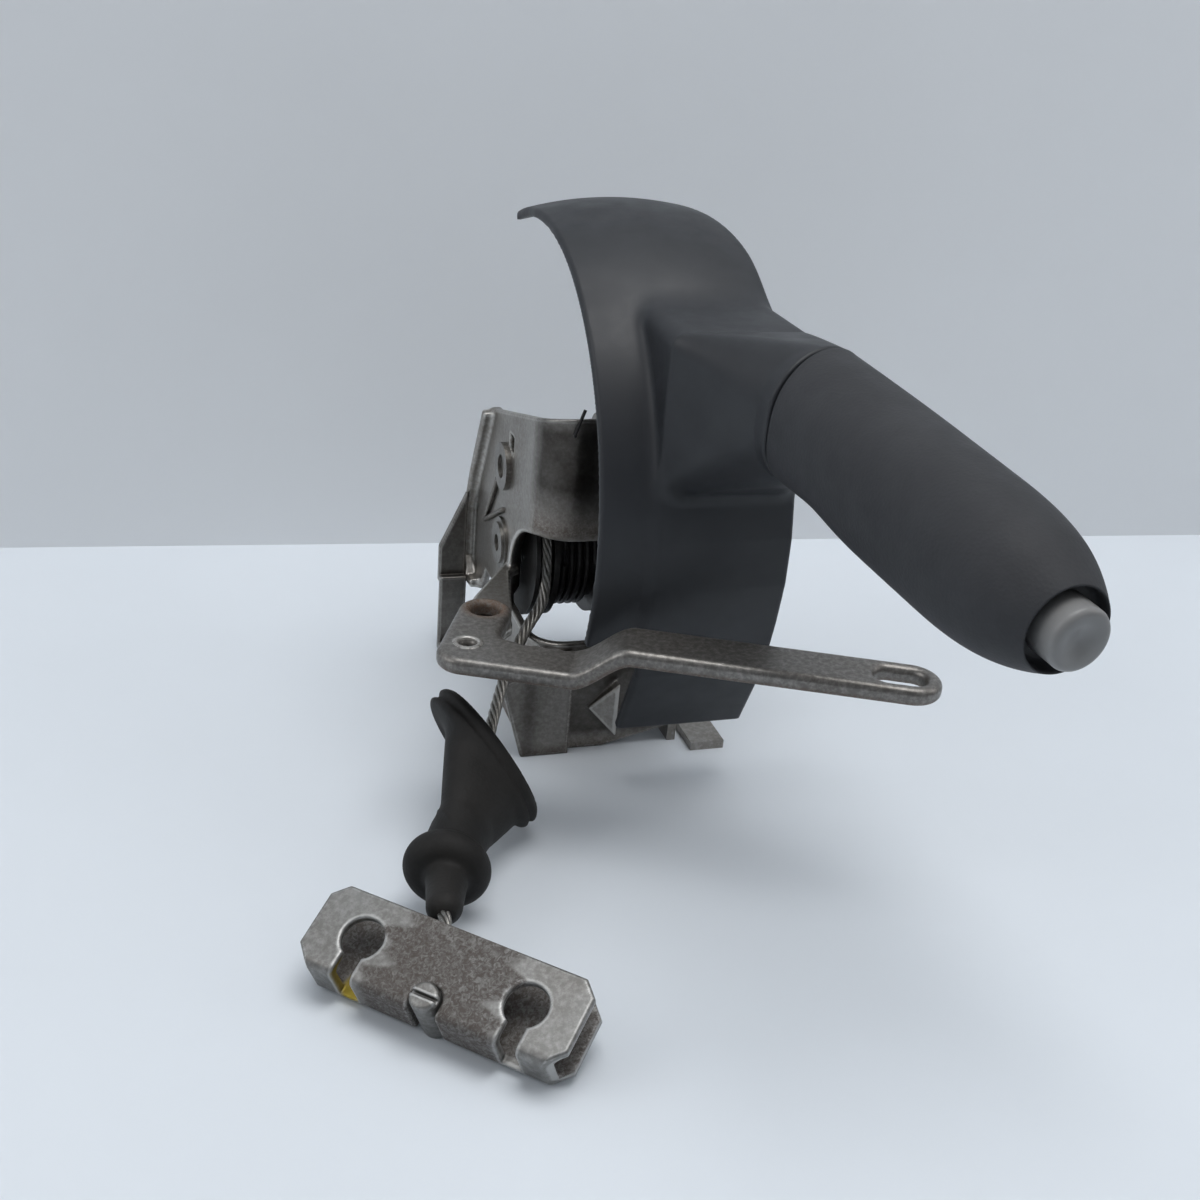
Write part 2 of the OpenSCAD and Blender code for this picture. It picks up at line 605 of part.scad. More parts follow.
module pawl() color(pale) placed() about_pivot() slab(pawl_x[0], pawl_x[1]) difference() {
    union() {
        translate(pawl_at) circle(r = pawl_pin_r + 3.5);
        polygon([pawl_at + [6, 1], [tail_y + 5, pawl_at[1] + 24], [tail_y, pawl_at[1] + 24],
            [tail_y, pawl_at[1] + 14], pawl_at + [-5, 7.5], pawl_at + [-5, 0]]);
        polygon([[-teeth_r - gap - 1.5, 4], [-teeth_r - gap, 9], pawl_at + [3, 6], pawl_at + [-2, -6]]);
    }
    translate(pawl_at) circle(r = pawl_pin_r + running);
}

// Drum and link
module cable_drum() color(dark) placed() about_shaft() difference() {
    rotate([0, 90, 0]) rotate_extrude() polygon([
        [shaft_r + running, drum_x[0]], [drum_r + 1.5, drum_x[0]], [drum_r + 1.5, 7],
        [coil_r - coil_d / 2 - gap, 7], [coil_r - coil_d / 2 - gap, flange_x + 0.4],
        [drum_r + 1.5, flange_x + 0.4], [drum_r + 1.5, drum_x[1]],
        [shaft_r + running, drum_x[1]]]);
    translate([cable_x, 0, 0]) rotate([0, 90, 0]) rotate_extrude() translate([drum_r, 0]) {
        circle(r = cable_r + gap);
        translate([0, -cable_r - gap]) square([10, 2 * (cable_r + gap)]);
    }
    translate([0, crank[0], crank[1]]) rod_x(crank_r, flange_x, drum_x[1] + 1);
}
module crank_pin() color(pale) placed() about_shaft() translate([0, crank[0], crank[1]])
    rod_x(crank_r, flange_x, link_x[1] + 1);
module drive_link() color(pale) placed() slab(link_x[0], link_x[1]) difference() {
    union() {
        for (z = [pivot_h, shaft_z]) translate([crank[0], z + crank[1]]) circle(r = link_r);
        translate([crank[0] - 5, shaft_z + crank[1]]) square([10, shaft_drop]);
    }
    translate([crank[0], pivot_h + crank[1]]) circle(r = crank_r + running);
    translate([crank[0], shaft_z + crank[1]]) circle(r = crank_r + gap);
}

base_bracket();
side_plate();
lower_panel();
rear_leg();
mounting_strap();
pivot_pin();
spring_rivet();
drum_shaft();
ratchet_sector();
sector_rivets();
hairpin_spring();
drum_spring();
brake_cable();
cable_wrap();
cable_boot();
cable_nipple();
lever_arm();
pivot_bush();
link_pin();
pawl_pin();
lever_tube();
arc_cover();
cover_clip();
grip_sleeve();
button_guide();
spring_seat();
push_button();
release_rod();
button_spring();
pawl();
cable_drum();
crank_pin();
drive_link();
equalizer();
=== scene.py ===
import math
import bmesh
import bpy
import numpy as np
from mathutils import Matrix, Vector


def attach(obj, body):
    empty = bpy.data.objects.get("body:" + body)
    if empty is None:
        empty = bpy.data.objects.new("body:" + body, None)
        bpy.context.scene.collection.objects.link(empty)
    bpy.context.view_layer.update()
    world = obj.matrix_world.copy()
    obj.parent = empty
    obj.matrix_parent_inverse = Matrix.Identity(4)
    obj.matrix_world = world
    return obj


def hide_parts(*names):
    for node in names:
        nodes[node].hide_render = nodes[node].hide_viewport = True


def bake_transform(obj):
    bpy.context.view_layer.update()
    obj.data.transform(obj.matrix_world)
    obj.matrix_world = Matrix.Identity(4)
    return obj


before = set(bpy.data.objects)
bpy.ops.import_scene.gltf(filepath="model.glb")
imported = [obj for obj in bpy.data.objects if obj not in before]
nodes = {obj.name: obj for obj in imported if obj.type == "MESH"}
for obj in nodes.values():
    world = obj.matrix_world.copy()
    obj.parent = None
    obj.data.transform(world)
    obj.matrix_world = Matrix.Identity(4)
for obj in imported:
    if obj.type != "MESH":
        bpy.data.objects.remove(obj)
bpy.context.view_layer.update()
print("frame loaded:", len(nodes), "nodes")

# Shapes are drawn in millimetres about the foot of the pivot axis: x along the axis, y rearwards, z from
# the floor.
mm = 0.001
shift = np.array([25.4, 54.4, -60.0])  # from there to the fixing hole in the strap, which is the row frame
pivotHeight = 86.0
floorLevel = shift[2] * mm


def rowPoint(p):
    return Vector((np.asarray(p, float) + shift) * mm)


def smoothJoin(a, b, k):
    h = np.clip(0.5 + 0.5 * (b - a) / k, 0, 1)
    return b * (1 - h) + a * h - k * h * (1 - h)


def smoothCut(a, b, k):
    return -smoothJoin(-a, b, k)


def boxField(x, y, z, low, high, r=0.0):
    q = [np.abs(c - (l + h) / 2) - (h - l) / 2 + r for c, l, h in zip((x, y, z), low, high)]
    out = np.sqrt(sum(np.maximum(c, 0) ** 2 for c in q))
    return out + np.minimum(np.maximum(np.maximum(q[0], q[1]), q[2]), 0) - r


def outlineField(u, v, points):
    best, sign = None, 1.0
    for (ax, ay), (bx, by) in zip(points, points[1:] + points[:1]):
        ex, ey = bx - ax, by - ay
        wu, wv = u - ax, v - ay
        t = np.clip((wu * ex + wv * ey) / (ex * ex + ey * ey), 0, 1)
        d = (wu - ex * t) ** 2 + (wv - ey * t) ** 2
        best = d if best is None else np.minimum(best, d)
        up, down, left = v >= ay, v < by, ex * wv > ey * wu
        flip = (up & down & left) | (~up & ~down & ~left)
        sign = np.where(flip, -sign, sign)
    return sign * np.sqrt(best)


def roundedMax(a, b, r):
    a, b = a + r, b + r
    return np.hypot(np.maximum(a, 0), np.maximum(b, 0)) + np.minimum(np.maximum(a, b), 0) - r


def plate(flat, across, half, r):
    return roundedMax(flat, np.abs(across) - half, r)


def stick(x, y, z, a, b, ra, rb):
    a, b = np.array(a, float), np.array(b, float)
    d = b - a
    t = np.clip(((x - a[0]) * d[0] + (y - a[1]) * d[1] + (z - a[2]) * d[2]) / d.dot(d), 0, 1)
    far = np.sqrt((x - a[0] - d[0] * t) ** 2 + (y - a[1] - d[1] * t) ** 2 + (z - a[2] - d[2] * t) ** 2)
    return far - (ra + (rb - ra) * t)


def slope(field, p, h):
    g = [field(*(p + h * e).T) - field(*(p - h * e).T) for e in np.eye(3)]
    return np.stack(g, 1) / (2 * h)


def addPiece(name, verts, faces, smooth=True):
    mesh = bpy.data.meshes.new(name)
    mesh.from_pydata([tuple(v) for v in np.asarray(verts, float)], [],
                     [tuple(int(i) for i in f) for f in faces])
    mesh.update()
    if smooth:
        mesh.shade_smooth()
    obj = bpy.data.objects.new(name, mesh)
    bpy.context.scene.collection.objects.link(obj)
    return obj


# Turns the zero level of a field into a quad mesh: one point for each cell that the surface passes through.
# Each mark is a function of place that is kept as a point attribute for the finishes.
def meshField(name, field, low, high, step, toFrame=None, wearReach=1.4, **marks):
    low = np.array(low, float) - 2 * step
    count = np.ceil((np.array(high, float) + 2 * step - low) / step).astype(int) + 1
    axes = [low[i] + step * np.arange(count[i]) for i in range(3)]
    values = np.broadcast_to(field(*np.meshgrid(*axes, indexing="ij", sparse=True)), count).astype(np.float32)
    inside = values < 0
    cut = tuple(count - 1)
    corner = [(i, j, k) for i in (0, 1) for j in (0, 1) for k in (0, 1)]
    full = sum(inside[i:cut[0] + i, j:cut[1] + j, k:cut[2] + k].astype(np.int8) for i, j, k in corner)
    cells = np.argwhere((full > 0) & (full < 8))
    ids = np.full(cut, -1)
    ids[tuple(cells.T)] = np.arange(len(cells))
    total, hits = np.zeros((len(cells), 3)), np.zeros(len(cells))
    for a in corner:
        for axis in range(3):
            if a[axis]:
                continue
            b = tuple(1 if i == axis else c for i, c in enumerate(a))
            va, vb = values[tuple((cells + a).T)], values[tuple((cells + b).T)]
            crossed = (va < 0) != (vb < 0)
            t = va[crossed] / (va[crossed] - vb[crossed])
            total[crossed] += np.array(a) + t[:, None] * (np.array(b) - a)
            hits[crossed] += 1
    verts = low + step * (cells + total / hits[:, None])
    faces = []
    for axis in range(3):
        first = np.take(inside, range(count[axis] - 1), axis)
        edges = np.argwhere(first != np.take(inside, range(1, count[axis]), axis))
        b, c = np.eye(3, dtype=int)[(axis + 1) % 3], np.eye(3, dtype=int)[(axis + 2) % 3]
        ring = [ids[tuple((edges - o).T)] for o in (0 * b, b, b + c, c)]
        quads = np.stack(ring, 1)
        turned = ~first[tuple(edges.T)]
        quads[turned] = quads[turned][:, ::-1]
        faces.append(quads)
        if quads.min() < 0:
            raise ValueError(name + " reaches past its grid")
    for _ in range(3):
        g = slope(field, verts, 0.25 * step)
        f = field(*verts.T)
        move = -(f / np.maximum((g * g).sum(1), 0.2))[:, None] * g
        verts = verts + np.clip(move, -0.4 * step, 0.4 * step)
    g = slope(field, verts, 0.3 * step)
    n = g / np.maximum(np.linalg.norm(g, axis=1), 1e-6)[:, None]
    worn = np.clip(1 + field(*(verts - wearReach * n).T) / wearReach, 0, 1)
    # how deeply each point lies in a hollow, where the steel finishes paint shade
    hollow = np.clip(1 - field(*(verts + 2 * wearReach * n).T) / (2 * wearReach), 0, 1)
    placed = verts if toFrame is None else toFrame(verts)
    obj = addPiece(name, (placed + shift) * mm, np.vstack(faces))
    layers = dict(worn=worn, hollow=hollow,
                  **{label: np.clip(mark(*verts.T), 0, 1) for label, mark in marks.items()})
    for label, data in layers.items():
        layer = obj.data.attributes.new(label, "FLOAT", "POINT")
        layer.data.foreach_set("value", data.astype(np.float32))
    print(name, len(obj.data.polygons), "faces")
    return obj


# Sweeps rings of points, each ring with the same count, into a skin; ends close on themselves when capped.
def loftRings(name, rings, capStart=True, capEnd=True):
    rings = np.asarray(rings, float)
    m, n = rings.shape[:2]
    faces = [(i * n + k, i * n + (k + 1) % n, (i + 1) * n + (k + 1) % n, (i + 1) * n + k)
             for i in range(m - 1) for k in range(n)]
    if capStart:
        faces.append(tuple(range(n))[::-1])
    if capEnd:
        faces.append(tuple((m - 1) * n + k for k in range(n)))
    return addPiece(name, (rings.reshape(-1, 3) + shift) * mm, faces)


def outwards(obj):
    bm = bmesh.new()
    bm.from_mesh(obj.data)
    bmesh.ops.recalc_face_normals(bm, faces=bm.faces)
    bm.to_mesh(obj.data)
    bm.free()


def newFinish(name):
    mat = bpy.data.materials.new(name)
    mat.use_nodes = True
    tree = mat.node_tree
    shader = tree.nodes["Principled BSDF"]
    return mat, tree, shader


def addNode(tree, kind, inputs=(), **props):
    n = tree.nodes.new(kind)
    for key, value in props.items():
        setattr(n, key, value)
    for key, value in dict(inputs).items():
        if isinstance(value, bpy.types.NodeSocket):
            tree.links.new(value, n.inputs[key])
        else:
            n.inputs[key].default_value = value
    return n


def place(tree):
    return addNode(tree, "ShaderNodeTexCoord").outputs["Object"]


def noise(tree, scale, detail, rough, distortion=0.0):
    n = addNode(tree, "ShaderNodeTexNoise", {
        "Vector": place(tree), "Scale": scale, "Detail": detail, "Roughness": rough,
        "Distortion": distortion})
    return n.outputs["Fac"]


def grainCells(tree, scale):
    cells = addNode(tree, "ShaderNodeTexVoronoi", {"Vector": place(tree), "Scale": scale})
    return cells.outputs["Distance"]


def ramp(tree, value, stops):
    n = addNode(tree, "ShaderNodeValToRGB", {"Fac": value})
    el = n.color_ramp.elements
    while len(el) < len(stops):
        el.new(0.5)
    for e, (at, c) in zip(el, stops):
        e.position = at
        e.color = (*c, 1) if isinstance(c, tuple) else (c, c, c, 1)
    return n.outputs["Color"]


def mixed(tree, factor, a, b, how="MIX"):
    n = addNode(tree, "ShaderNodeMix", data_type="RGBA", blend_type=how)
    for socket, value in zip((n.inputs[0], n.inputs[6], n.inputs[7]), (factor, a, b)):
        if isinstance(value, bpy.types.NodeSocket):
            tree.links.new(value, socket)
        else:
            socket.default_value = (*value, 1) if isinstance(value, tuple) else value
    return n.outputs[2]


def maths(tree, how, a, b):
    n = addNode(tree, "ShaderNodeMath", {0: a, 1: b}, operation=how)
    return n.outputs[0]


def bumped(tree, shader, height, strength, distance, under=None):
    ins = {"Strength": strength, "Distance": distance, "Height": height}
    if under is not None:
        ins["Normal"] = under
    n = addNode(tree, "ShaderNodeBump", ins)
    tree.links.new(n.outputs["Normal"], shader.inputs["Normal"])
    return n.outputs["Normal"]


def attribute(tree, name):
    return addNode(tree, "ShaderNodeAttribute", attribute_name=name).outputs["Fac"]


def link(tree, value, shader, socket):
    tree.links.new(value, shader.inputs[socket])


def srgb(r, g, b):
    return tuple((c / 255 / 12.92) if c <= 10 else ((c / 255 + 0.055) / 1.055) ** 2.4 for c in (r, g, b))


# Bare steel: grey with brown stains, brighter where edges are worn, with painted shade in the hollows, grainy
#  where marked rusty, and nearly black where so marked, which on the base's bend is a painted dark
#  reflection.
def steelFinish(name, base, stain, rust, bright, rough=0.42, rustAmount=0.5, metal=0.9, wear=True,
                scale=1.0, grain=900):
    mat, tree, shader = newFinish(name)
    cloud = noise(tree, 30 * scale, 6, 0.6)
    colour = mixed(tree, ramp(tree, cloud, [(0.36, 0.0), (0.70, 0.85)]), base, stain)
    fine = noise(tree, 600 * scale, 5, 0.7)
    colour = mixed(tree, ramp(tree, fine, [(0.42, 0.0), (0.8, 0.45)]), colour, bright)
    spots = maths(tree, "MULTIPLY", noise(tree, 130 * scale, 8, 0.75), noise(tree, 30 * scale, 3, 0.5))
    top = 0.42 - 0.16 * rustAmount
    rustMask = ramp(tree, spots, [(top, 0.0), (top + 0.10, 1.0)])
    if wear:
        edge = ramp(tree, maths(tree, "ADD", attribute(tree, "worn"), maths(tree, "MULTIPLY", fine, 0.3)),
                    [(0.34, 0.0), (0.62, 1.0)])
        colour = mixed(tree, maths(tree, "MULTIPLY", edge, 0.7), colour, bright)
        # painted shade: the hollows are darkened towards a dark brown
        hollowShadeMask = ramp(tree, attribute(tree, "hollow"), [(0.25, 0.0), (0.75, 1.0)])
        hollowShade = tuple(0.35 * c for c in stain)
        colour = mixed(tree, maths(tree, "MULTIPLY", hollowShadeMask, 0.45), colour, hollowShade)
        grains = ramp(tree, noise(tree, grain, 5, 0.65, distortion=1.2), [(0.40, 0.35), (0.58, 1.0)])
        rustMask = maths(tree, "MAXIMUM", rustMask, maths(tree, "MULTIPLY", attribute(tree, "rusty"), grains))
    colour = mixed(tree, maths(tree, "MULTIPLY", rustMask, 0.85), colour, rust)
    if wear:
        # nearly black where marked; on the base's bend this is a painted dark reflection
        darkening = maths(tree, "MULTIPLY", attribute(tree, "oily"), ramp(tree, cloud, [(0.25, 0.7), (0.6, 1.0)]))
        colour = mixed(tree, maths(tree, "MULTIPLY", darkening, 0.96), colour, srgb(36, 31, 27))
        colour = mixed(tree, attribute(tree, "grease"), colour,
                       mixed(tree, fine, srgb(176, 158, 62), srgb(122, 104, 44)))
    link(tree, colour, shader, "Base Color")
    roughness = addNode(tree, "ShaderNodeMapRange", {
        "Value": maths(tree, "ADD", rustMask, maths(tree, "MULTIPLY", cloud, 0.5)),
        "To Min": rough - 0.08, "To Max": rough + 0.28}).outputs["Result"]
    link(tree, roughness, shader, "Roughness")
    if rustAmount > 0:
        link(tree, maths(tree, "SUBTRACT", metal, maths(tree, "MULTIPLY", rustMask, 0.6)), shader, "Metallic")
    else:
        shader.inputs["Metallic"].default_value = metal
    pits = bumped(tree, shader, noise(tree, 700 * scale, 6, 0.7), 0.25, 0.0003)
    bumped(tree, shader, rustMask, 0.25, 0.0002, pits)
    return mat


def plasticFinish(name, base, high, rough, grain=1500, depth=0.12, scuff=0.2, specular=0.45):
    mat, tree, shader = newFinish(name)
    cloud = noise(tree, 26, 5, 0.6)
    colour = mixed(tree, ramp(tree, cloud, [(0.35, 0.0), (0.7, 1.0)]), base, high)
    dust = ramp(tree, noise(tree, 260, 8, 0.8), [(0.62, 0.0), (0.8, 1.0)])
    colour = mixed(tree, maths(tree, "MULTIPLY", dust, scuff), colour,
                   tuple(min(1, 2.2 * c + 0.02) for c in high))
    link(tree, colour, shader, "Base Color")
    roughness = addNode(tree, "ShaderNodeMapRange", {
        "Value": noise(tree, 90, 5, 0.6), "From Min": 0.3, "From Max": 0.7,
        "To Min": rough - 0.05, "To Max": rough + 0.09})
    link(tree, roughness.outputs["Result"], shader, "Roughness")
    shader.inputs["Specular IOR Level"].default_value = specular
    cells = bumped(tree, shader, grainCells(tree, grain), depth, 0.00018)
    bumped(tree, shader, noise(tree, 3 * grain, 3, 0.6), depth * 0.6, 0.0001, cells)
    return mat


bareSteel = steelFinish("bareSteel", srgb(146, 142, 137), srgb(118, 112, 104), srgb(76, 60, 48),
                        srgb(205, 203, 198), rough=0.34, rustAmount=0.3)
strapSteel = steelFinish("strapSteel", srgb(114, 112, 109), srgb(100, 95, 90), srgb(92, 66, 44),
                         srgb(200, 197, 192), rough=0.34, rustAmount=0.2, metal=0.7)
pinSteel = steelFinish("pinSteel", srgb(140, 138, 134), srgb(90, 84, 76), srgb(88, 60, 40),
                       srgb(200, 198, 194), rough=0.34, rustAmount=0.25, wear=False)
springSteel = steelFinish("springSteel", srgb(120, 116, 110), srgb(70, 64, 58), srgb(80, 56, 40),
                          srgb(165, 162, 156), rough=0.4, rustAmount=0.2, wear=False)
blackSteel = steelFinish("blackSteel", srgb(40, 39, 38), srgb(24, 23, 22), srgb(66, 50, 38), srgb(74, 72, 70),
                         rough=0.45, rustAmount=0.15, metal=0.5, wear=False)
ropeSteel = steelFinish("ropeSteel", srgb(134, 132, 128), srgb(96, 91, 84), srgb(84, 66, 50),
                        srgb(188, 186, 182), rough=0.34, rustAmount=0.15, wear=False, scale=1.5)
zincPlate = steelFinish("zincPlate", srgb(132, 132, 130), srgb(100, 96, 91), srgb(66, 56, 50),
                        srgb(190, 190, 188), rough=0.42, rustAmount=0.1, metal=0.75, grain=760)
coverPlastic = plasticFinish("coverPlastic", srgb(34, 36, 40), srgb(41, 43, 47), 0.46, grain=2600, depth=0.06,
                             scuff=0.04, specular=0.45)
gripRubber = plasticFinish("gripRubber", srgb(47, 48, 51), srgb(55, 56, 59), 0.6, grain=1100, depth=0.28,
                           scuff=0.05, specular=0.3)
bootRubber = plasticFinish("bootRubber", srgb(20, 19, 18), srgb(36, 34, 32), 0.66, grain=900, depth=0.3,
                           scuff=0.35, specular=0.3)
buttonPlastic = plasticFinish("buttonPlastic", srgb(116, 116, 116), srgb(134, 134, 133), 0.34, grain=3000,
                              depth=0.03, scuff=0.05)
guidePlastic = plasticFinish("guidePlastic", srgb(30, 31, 33), srgb(40, 41, 43), 0.55, grain=2000, depth=0.05,
                             scuff=0.05)
bushBrass = steelFinish("bushBrass", srgb(176, 141, 87), srgb(130, 100, 58), srgb(90, 66, 40),
                        srgb(214, 184, 130), rough=0.36, rustAmount=0.1, wear=False)
print("finishes ready")


def wears(obj, mat, body, slotName, *stands):
    obj.data.materials.clear()
    obj.data.materials.append(mat)
    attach(obj, body)
    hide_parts(*stands)


# The lever's skin: a crowned arc cover with a neck, the grip that carries it on, and the push button.
cover = dict(radius=85.0, wall=3.0, width=60.0, crown=4.0, footAngle=-20.0, tipAngle=112.0,
             cornerY=-48.0, cornerRun=82.0, neckX=(16.0, 59.2), neckZ=(20.0, 70.0), neckCorner=5.0,
             seam=(46.0, -118.0, 54.0), seamRadius=17.2, seamCorner=17.0, seamSlant=0.3, skirtX=16.5,
             fillet=3.5, step=0.8)
grip = dict(length=110.0, radius=18.0, drop=4.07, yaw=5.1, rise=4.5, riseTurn=1.8, roundFrom=70.0,
            recessRadius=10.7, recessDepth=4.0, hollow=1.6, sides=96)
button = dict(radius=7.7, low=88.0, high=115.0, dish=1.4)

gripTurn = np.array(Matrix.Rotation(math.radians(grip["yaw"]), 3, "Z")
                    @ Matrix.Rotation(math.radians(90 + grip["drop"]), 3, "X"))
gripFoot = np.array(cover["seam"]) + np.array([0, 0, pivotHeight])


def onGrip(p):
    return np.asarray(p, float) @ gripTurn.T + gripFoot


def coverField(x, y, z):
    c = cover
    z = z - pivotHeight
    crown = c["crown"] * (1 - np.clip(2 * x / c["width"] - 1, -1, 1) ** 2)
    r = np.hypot(y, z) - crown
    tip, foot = math.radians(c["tipAngle"]), math.radians(c["footAngle"])
    pastTip = y * math.sin(tip) + z * math.cos(tip)
    pastFoot = -(y * math.sin(foot) + z * math.cos(foot))
    # seen from above, the upper right corner is a long quarter of an ellipse
    half = c["width"] / 2
    corner = (np.hypot(np.maximum(x - half, 0) / (half + 0.5),
                       np.maximum(y - c["cornerY"], 0) / c["cornerRun"]) - 1) * half
    outline = np.maximum(np.maximum(corner, np.maximum(-x, x - c["width"])), np.maximum(pastFoot, pastTip))
    shell = r - c["radius"] + c["wall"] / 2
    band = plate(outline, shell, c["wall"] / 2, 0.9)
    # raised skirt below the neck
    angles = np.radians([15, 5, -5, -15])
    outer = [(-(c["radius"] + 3) * math.cos(t), (c["radius"] + 3) * math.sin(t)) for t in angles]
    inner = [(-(c["radius"] - 1.5) * math.cos(t), (c["radius"] - 1.5) * math.sin(t)) for t in angles[::-1]]
    profile = outer + [(-81, -40), (-68, -66), (-65.5, -64.5), (-78, -39)] + inner
    side = np.abs(x - (c["skirtX"] + c["width"]) / 2) - (c["width"] - c["skirtX"]) / 2
    skirt = roundedMax(outlineField(y, z, profile), side, 1.2)
    body = smoothJoin(band, skirt, 4.0)
    # neck: a rounded block at the band that shrinks to the grip's section at the seam
    sx, sy, sz = c["seam"]
    t = np.clip((-c["radius"] - y) / (-c["radius"] - sy), -0.6, 1.15)
    e = np.clip(t, 0, 1) ** 0.8
    tall = c["seamRadius"] + grip["rise"] / 2
    midX = (1 - e) * sum(c["neckX"]) / 2 + e * sx
    midZ = (1 - e) * sum(c["neckZ"]) / 2 + e * (sz + grip["rise"] / 2)
    halfX = (1 - e) * (c["neckX"][1] - c["neckX"][0]) / 2 + e * c["seamRadius"]
    halfZ = (1 - e) * (c["neckZ"][1] - c["neckZ"][0]) / 2 + e * tall
    cornerR = (1 - e) * c["neckCorner"] + e * c["seamCorner"]
    section = roundedMax(np.abs(x - midX) - halfX, np.abs(z - midZ) - halfZ, cornerR) * 0.85
    yaw, drop = math.radians(grip["yaw"]), math.radians(grip["drop"])
    across = math.cos(yaw) * (x - sx) + math.sin(yaw) * (y - sy)
    front = (math.sin(yaw) * (x - sx) + math.cos(yaw) * (sy - y) - math.sin(drop) * (z - sz)
             + c["seamSlant"] * across)
    solid = roundedMax(section, front * 0.95, 0.8)
    within = c["radius"] - c["wall"] - r
    body = smoothJoin(body, np.maximum(np.maximum(solid, within - 1), y + 45), c["fillet"])
    body = roundedMax(body, x - c["width"], 0.8)
    hollow = np.maximum(np.maximum(section, x - c["width"]) + 2.6, front - 3)
    body = np.maximum(body, -np.maximum(hollow, y + 60))
    return np.maximum(body, within)


arcCover = meshField("arcCover", coverField, (0, -130, 16), (60.5, 40, 177), cover["step"])
wears(arcCover, coverPlastic, "lever", "cover_plastic", "arc_cover")


# Rings about the grip's axis: taller than wide by the rise, and dipped below, behind the seam, where
# fingers close.
def gripRings():
    g = grip
    end, last = g["length"], g["recessRadius"]
    profile = [(0.4, g["radius"] - 3.4), (0.3, g["radius"] - 1.4), (0.8, g["radius"] - 0.7)]
    profile += [(s, g["radius"] - 0.8 + 0.8 * math.sin(min(1, s / 50) * math.pi / 2))
                for s in np.arange(2, g["roundFrom"], 1.5)]
    for s in np.append(np.arange(g["roundFrom"], end - 1, 1.2), end - 0.4):
        profile.append((s, g["radius"] - (g["radius"] - last)
                        * ((s - g["roundFrom"]) / (end - g["roundFrom"])) ** 3))
    profile += [(end, last), (end - 0.3, last - 0.3), (end - 1.2, last - 0.4),
                (end - g["recessDepth"], last - 0.6), (end - g["recessDepth"] - 0.3, last - 1.6),
                (end - g["recessDepth"] - 0.3, button["radius"] + 0.25)]
    rings = []
    a = np.linspace(0, 2 * math.pi, g["sides"], endpoint=False)
    for i, (s, r) in enumerate(profile):
        outside = i < len(profile) - 6
        dip = g["hollow"] * np.maximum(0, -np.sin(a)) ** 1.5 * math.exp(-((s - 22) / 14) ** 2) * outside
        fade = 1 - np.clip((s - end + 14) / 14, 0, 1) ** 2
        upper = 0.5 + 0.5 * np.sin(np.clip(2 * np.sin(a), -1, 1) * math.pi / 2)
        rise = (g["rise"] - s * math.sin(math.radians(g["riseTurn"]))) * fade * upper * outside
        start = -cover["seamSlant"] * r * np.cos(a) * max(0.0, 1 - s / 40)
        rings.append(np.stack([(r - dip) * np.cos(a), (r - dip) * np.sin(a) + rise, s + start], 1))
    return rings


gripSleeve = loftRings("gripSleeve", [onGrip(r) for r in gripRings()], False, False)
outwards(gripSleeve)
wears(gripSleeve, gripRubber, "lever", "grip_rubber", "grip_sleeve")


def buttonRings():
    b = button
    top, r = b["high"], b["radius"]
    profile = [(b["low"], 0.01), (b["low"], r)]
    profile += [(top - 1.6 + 1.6 * math.sin(t), r - 1.6 + 1.6 * math.cos(t))
                for t in np.linspace(0, math.pi / 2, 8)]
    profile += [(top - b["dish"] * math.sin(t * math.pi / 2) ** 2, (r - 1.9) * (1 - t))
                for t in np.linspace(0, 1, 14)[:-1]]
    profile.append((top - b["dish"], 0.01))
    return [[(q * math.cos(a), q * math.sin(a), s) for a in np.linspace(0, 2 * math.pi, 64, endpoint=False)]
            for s, q in profile]


pushButton = loftRings("pushButton", [onGrip(r) for r in buttonRings()])
outwards(pushButton)
wears(pushButton, buttonPlastic, "button", "button_plastic", "push_button")
print("lever covered")

# The base: one bent sheet with an arched window at the bend, the lower panel, the rear leg and the strap.
base = dict(wallX=-7.0, frontY=-45.0, bend=13.0, sheet=3.0, top=119.0, topRear=(22.0, 99.0),
            rightX=44.0, cutX=15.0, cutZ=82.0, windowZ=(40.0, 77.0), archLeft=4.2, archRadius=22.0,
            windowRight=54.0, lip=9.0, lipSide=5.4, shaftZ=58.0, flange=4.0, step=0.6)
rearEdge = [(22, 99), (37, 71), (43, 56), (43, 35), (36, 27), (28, 28)]


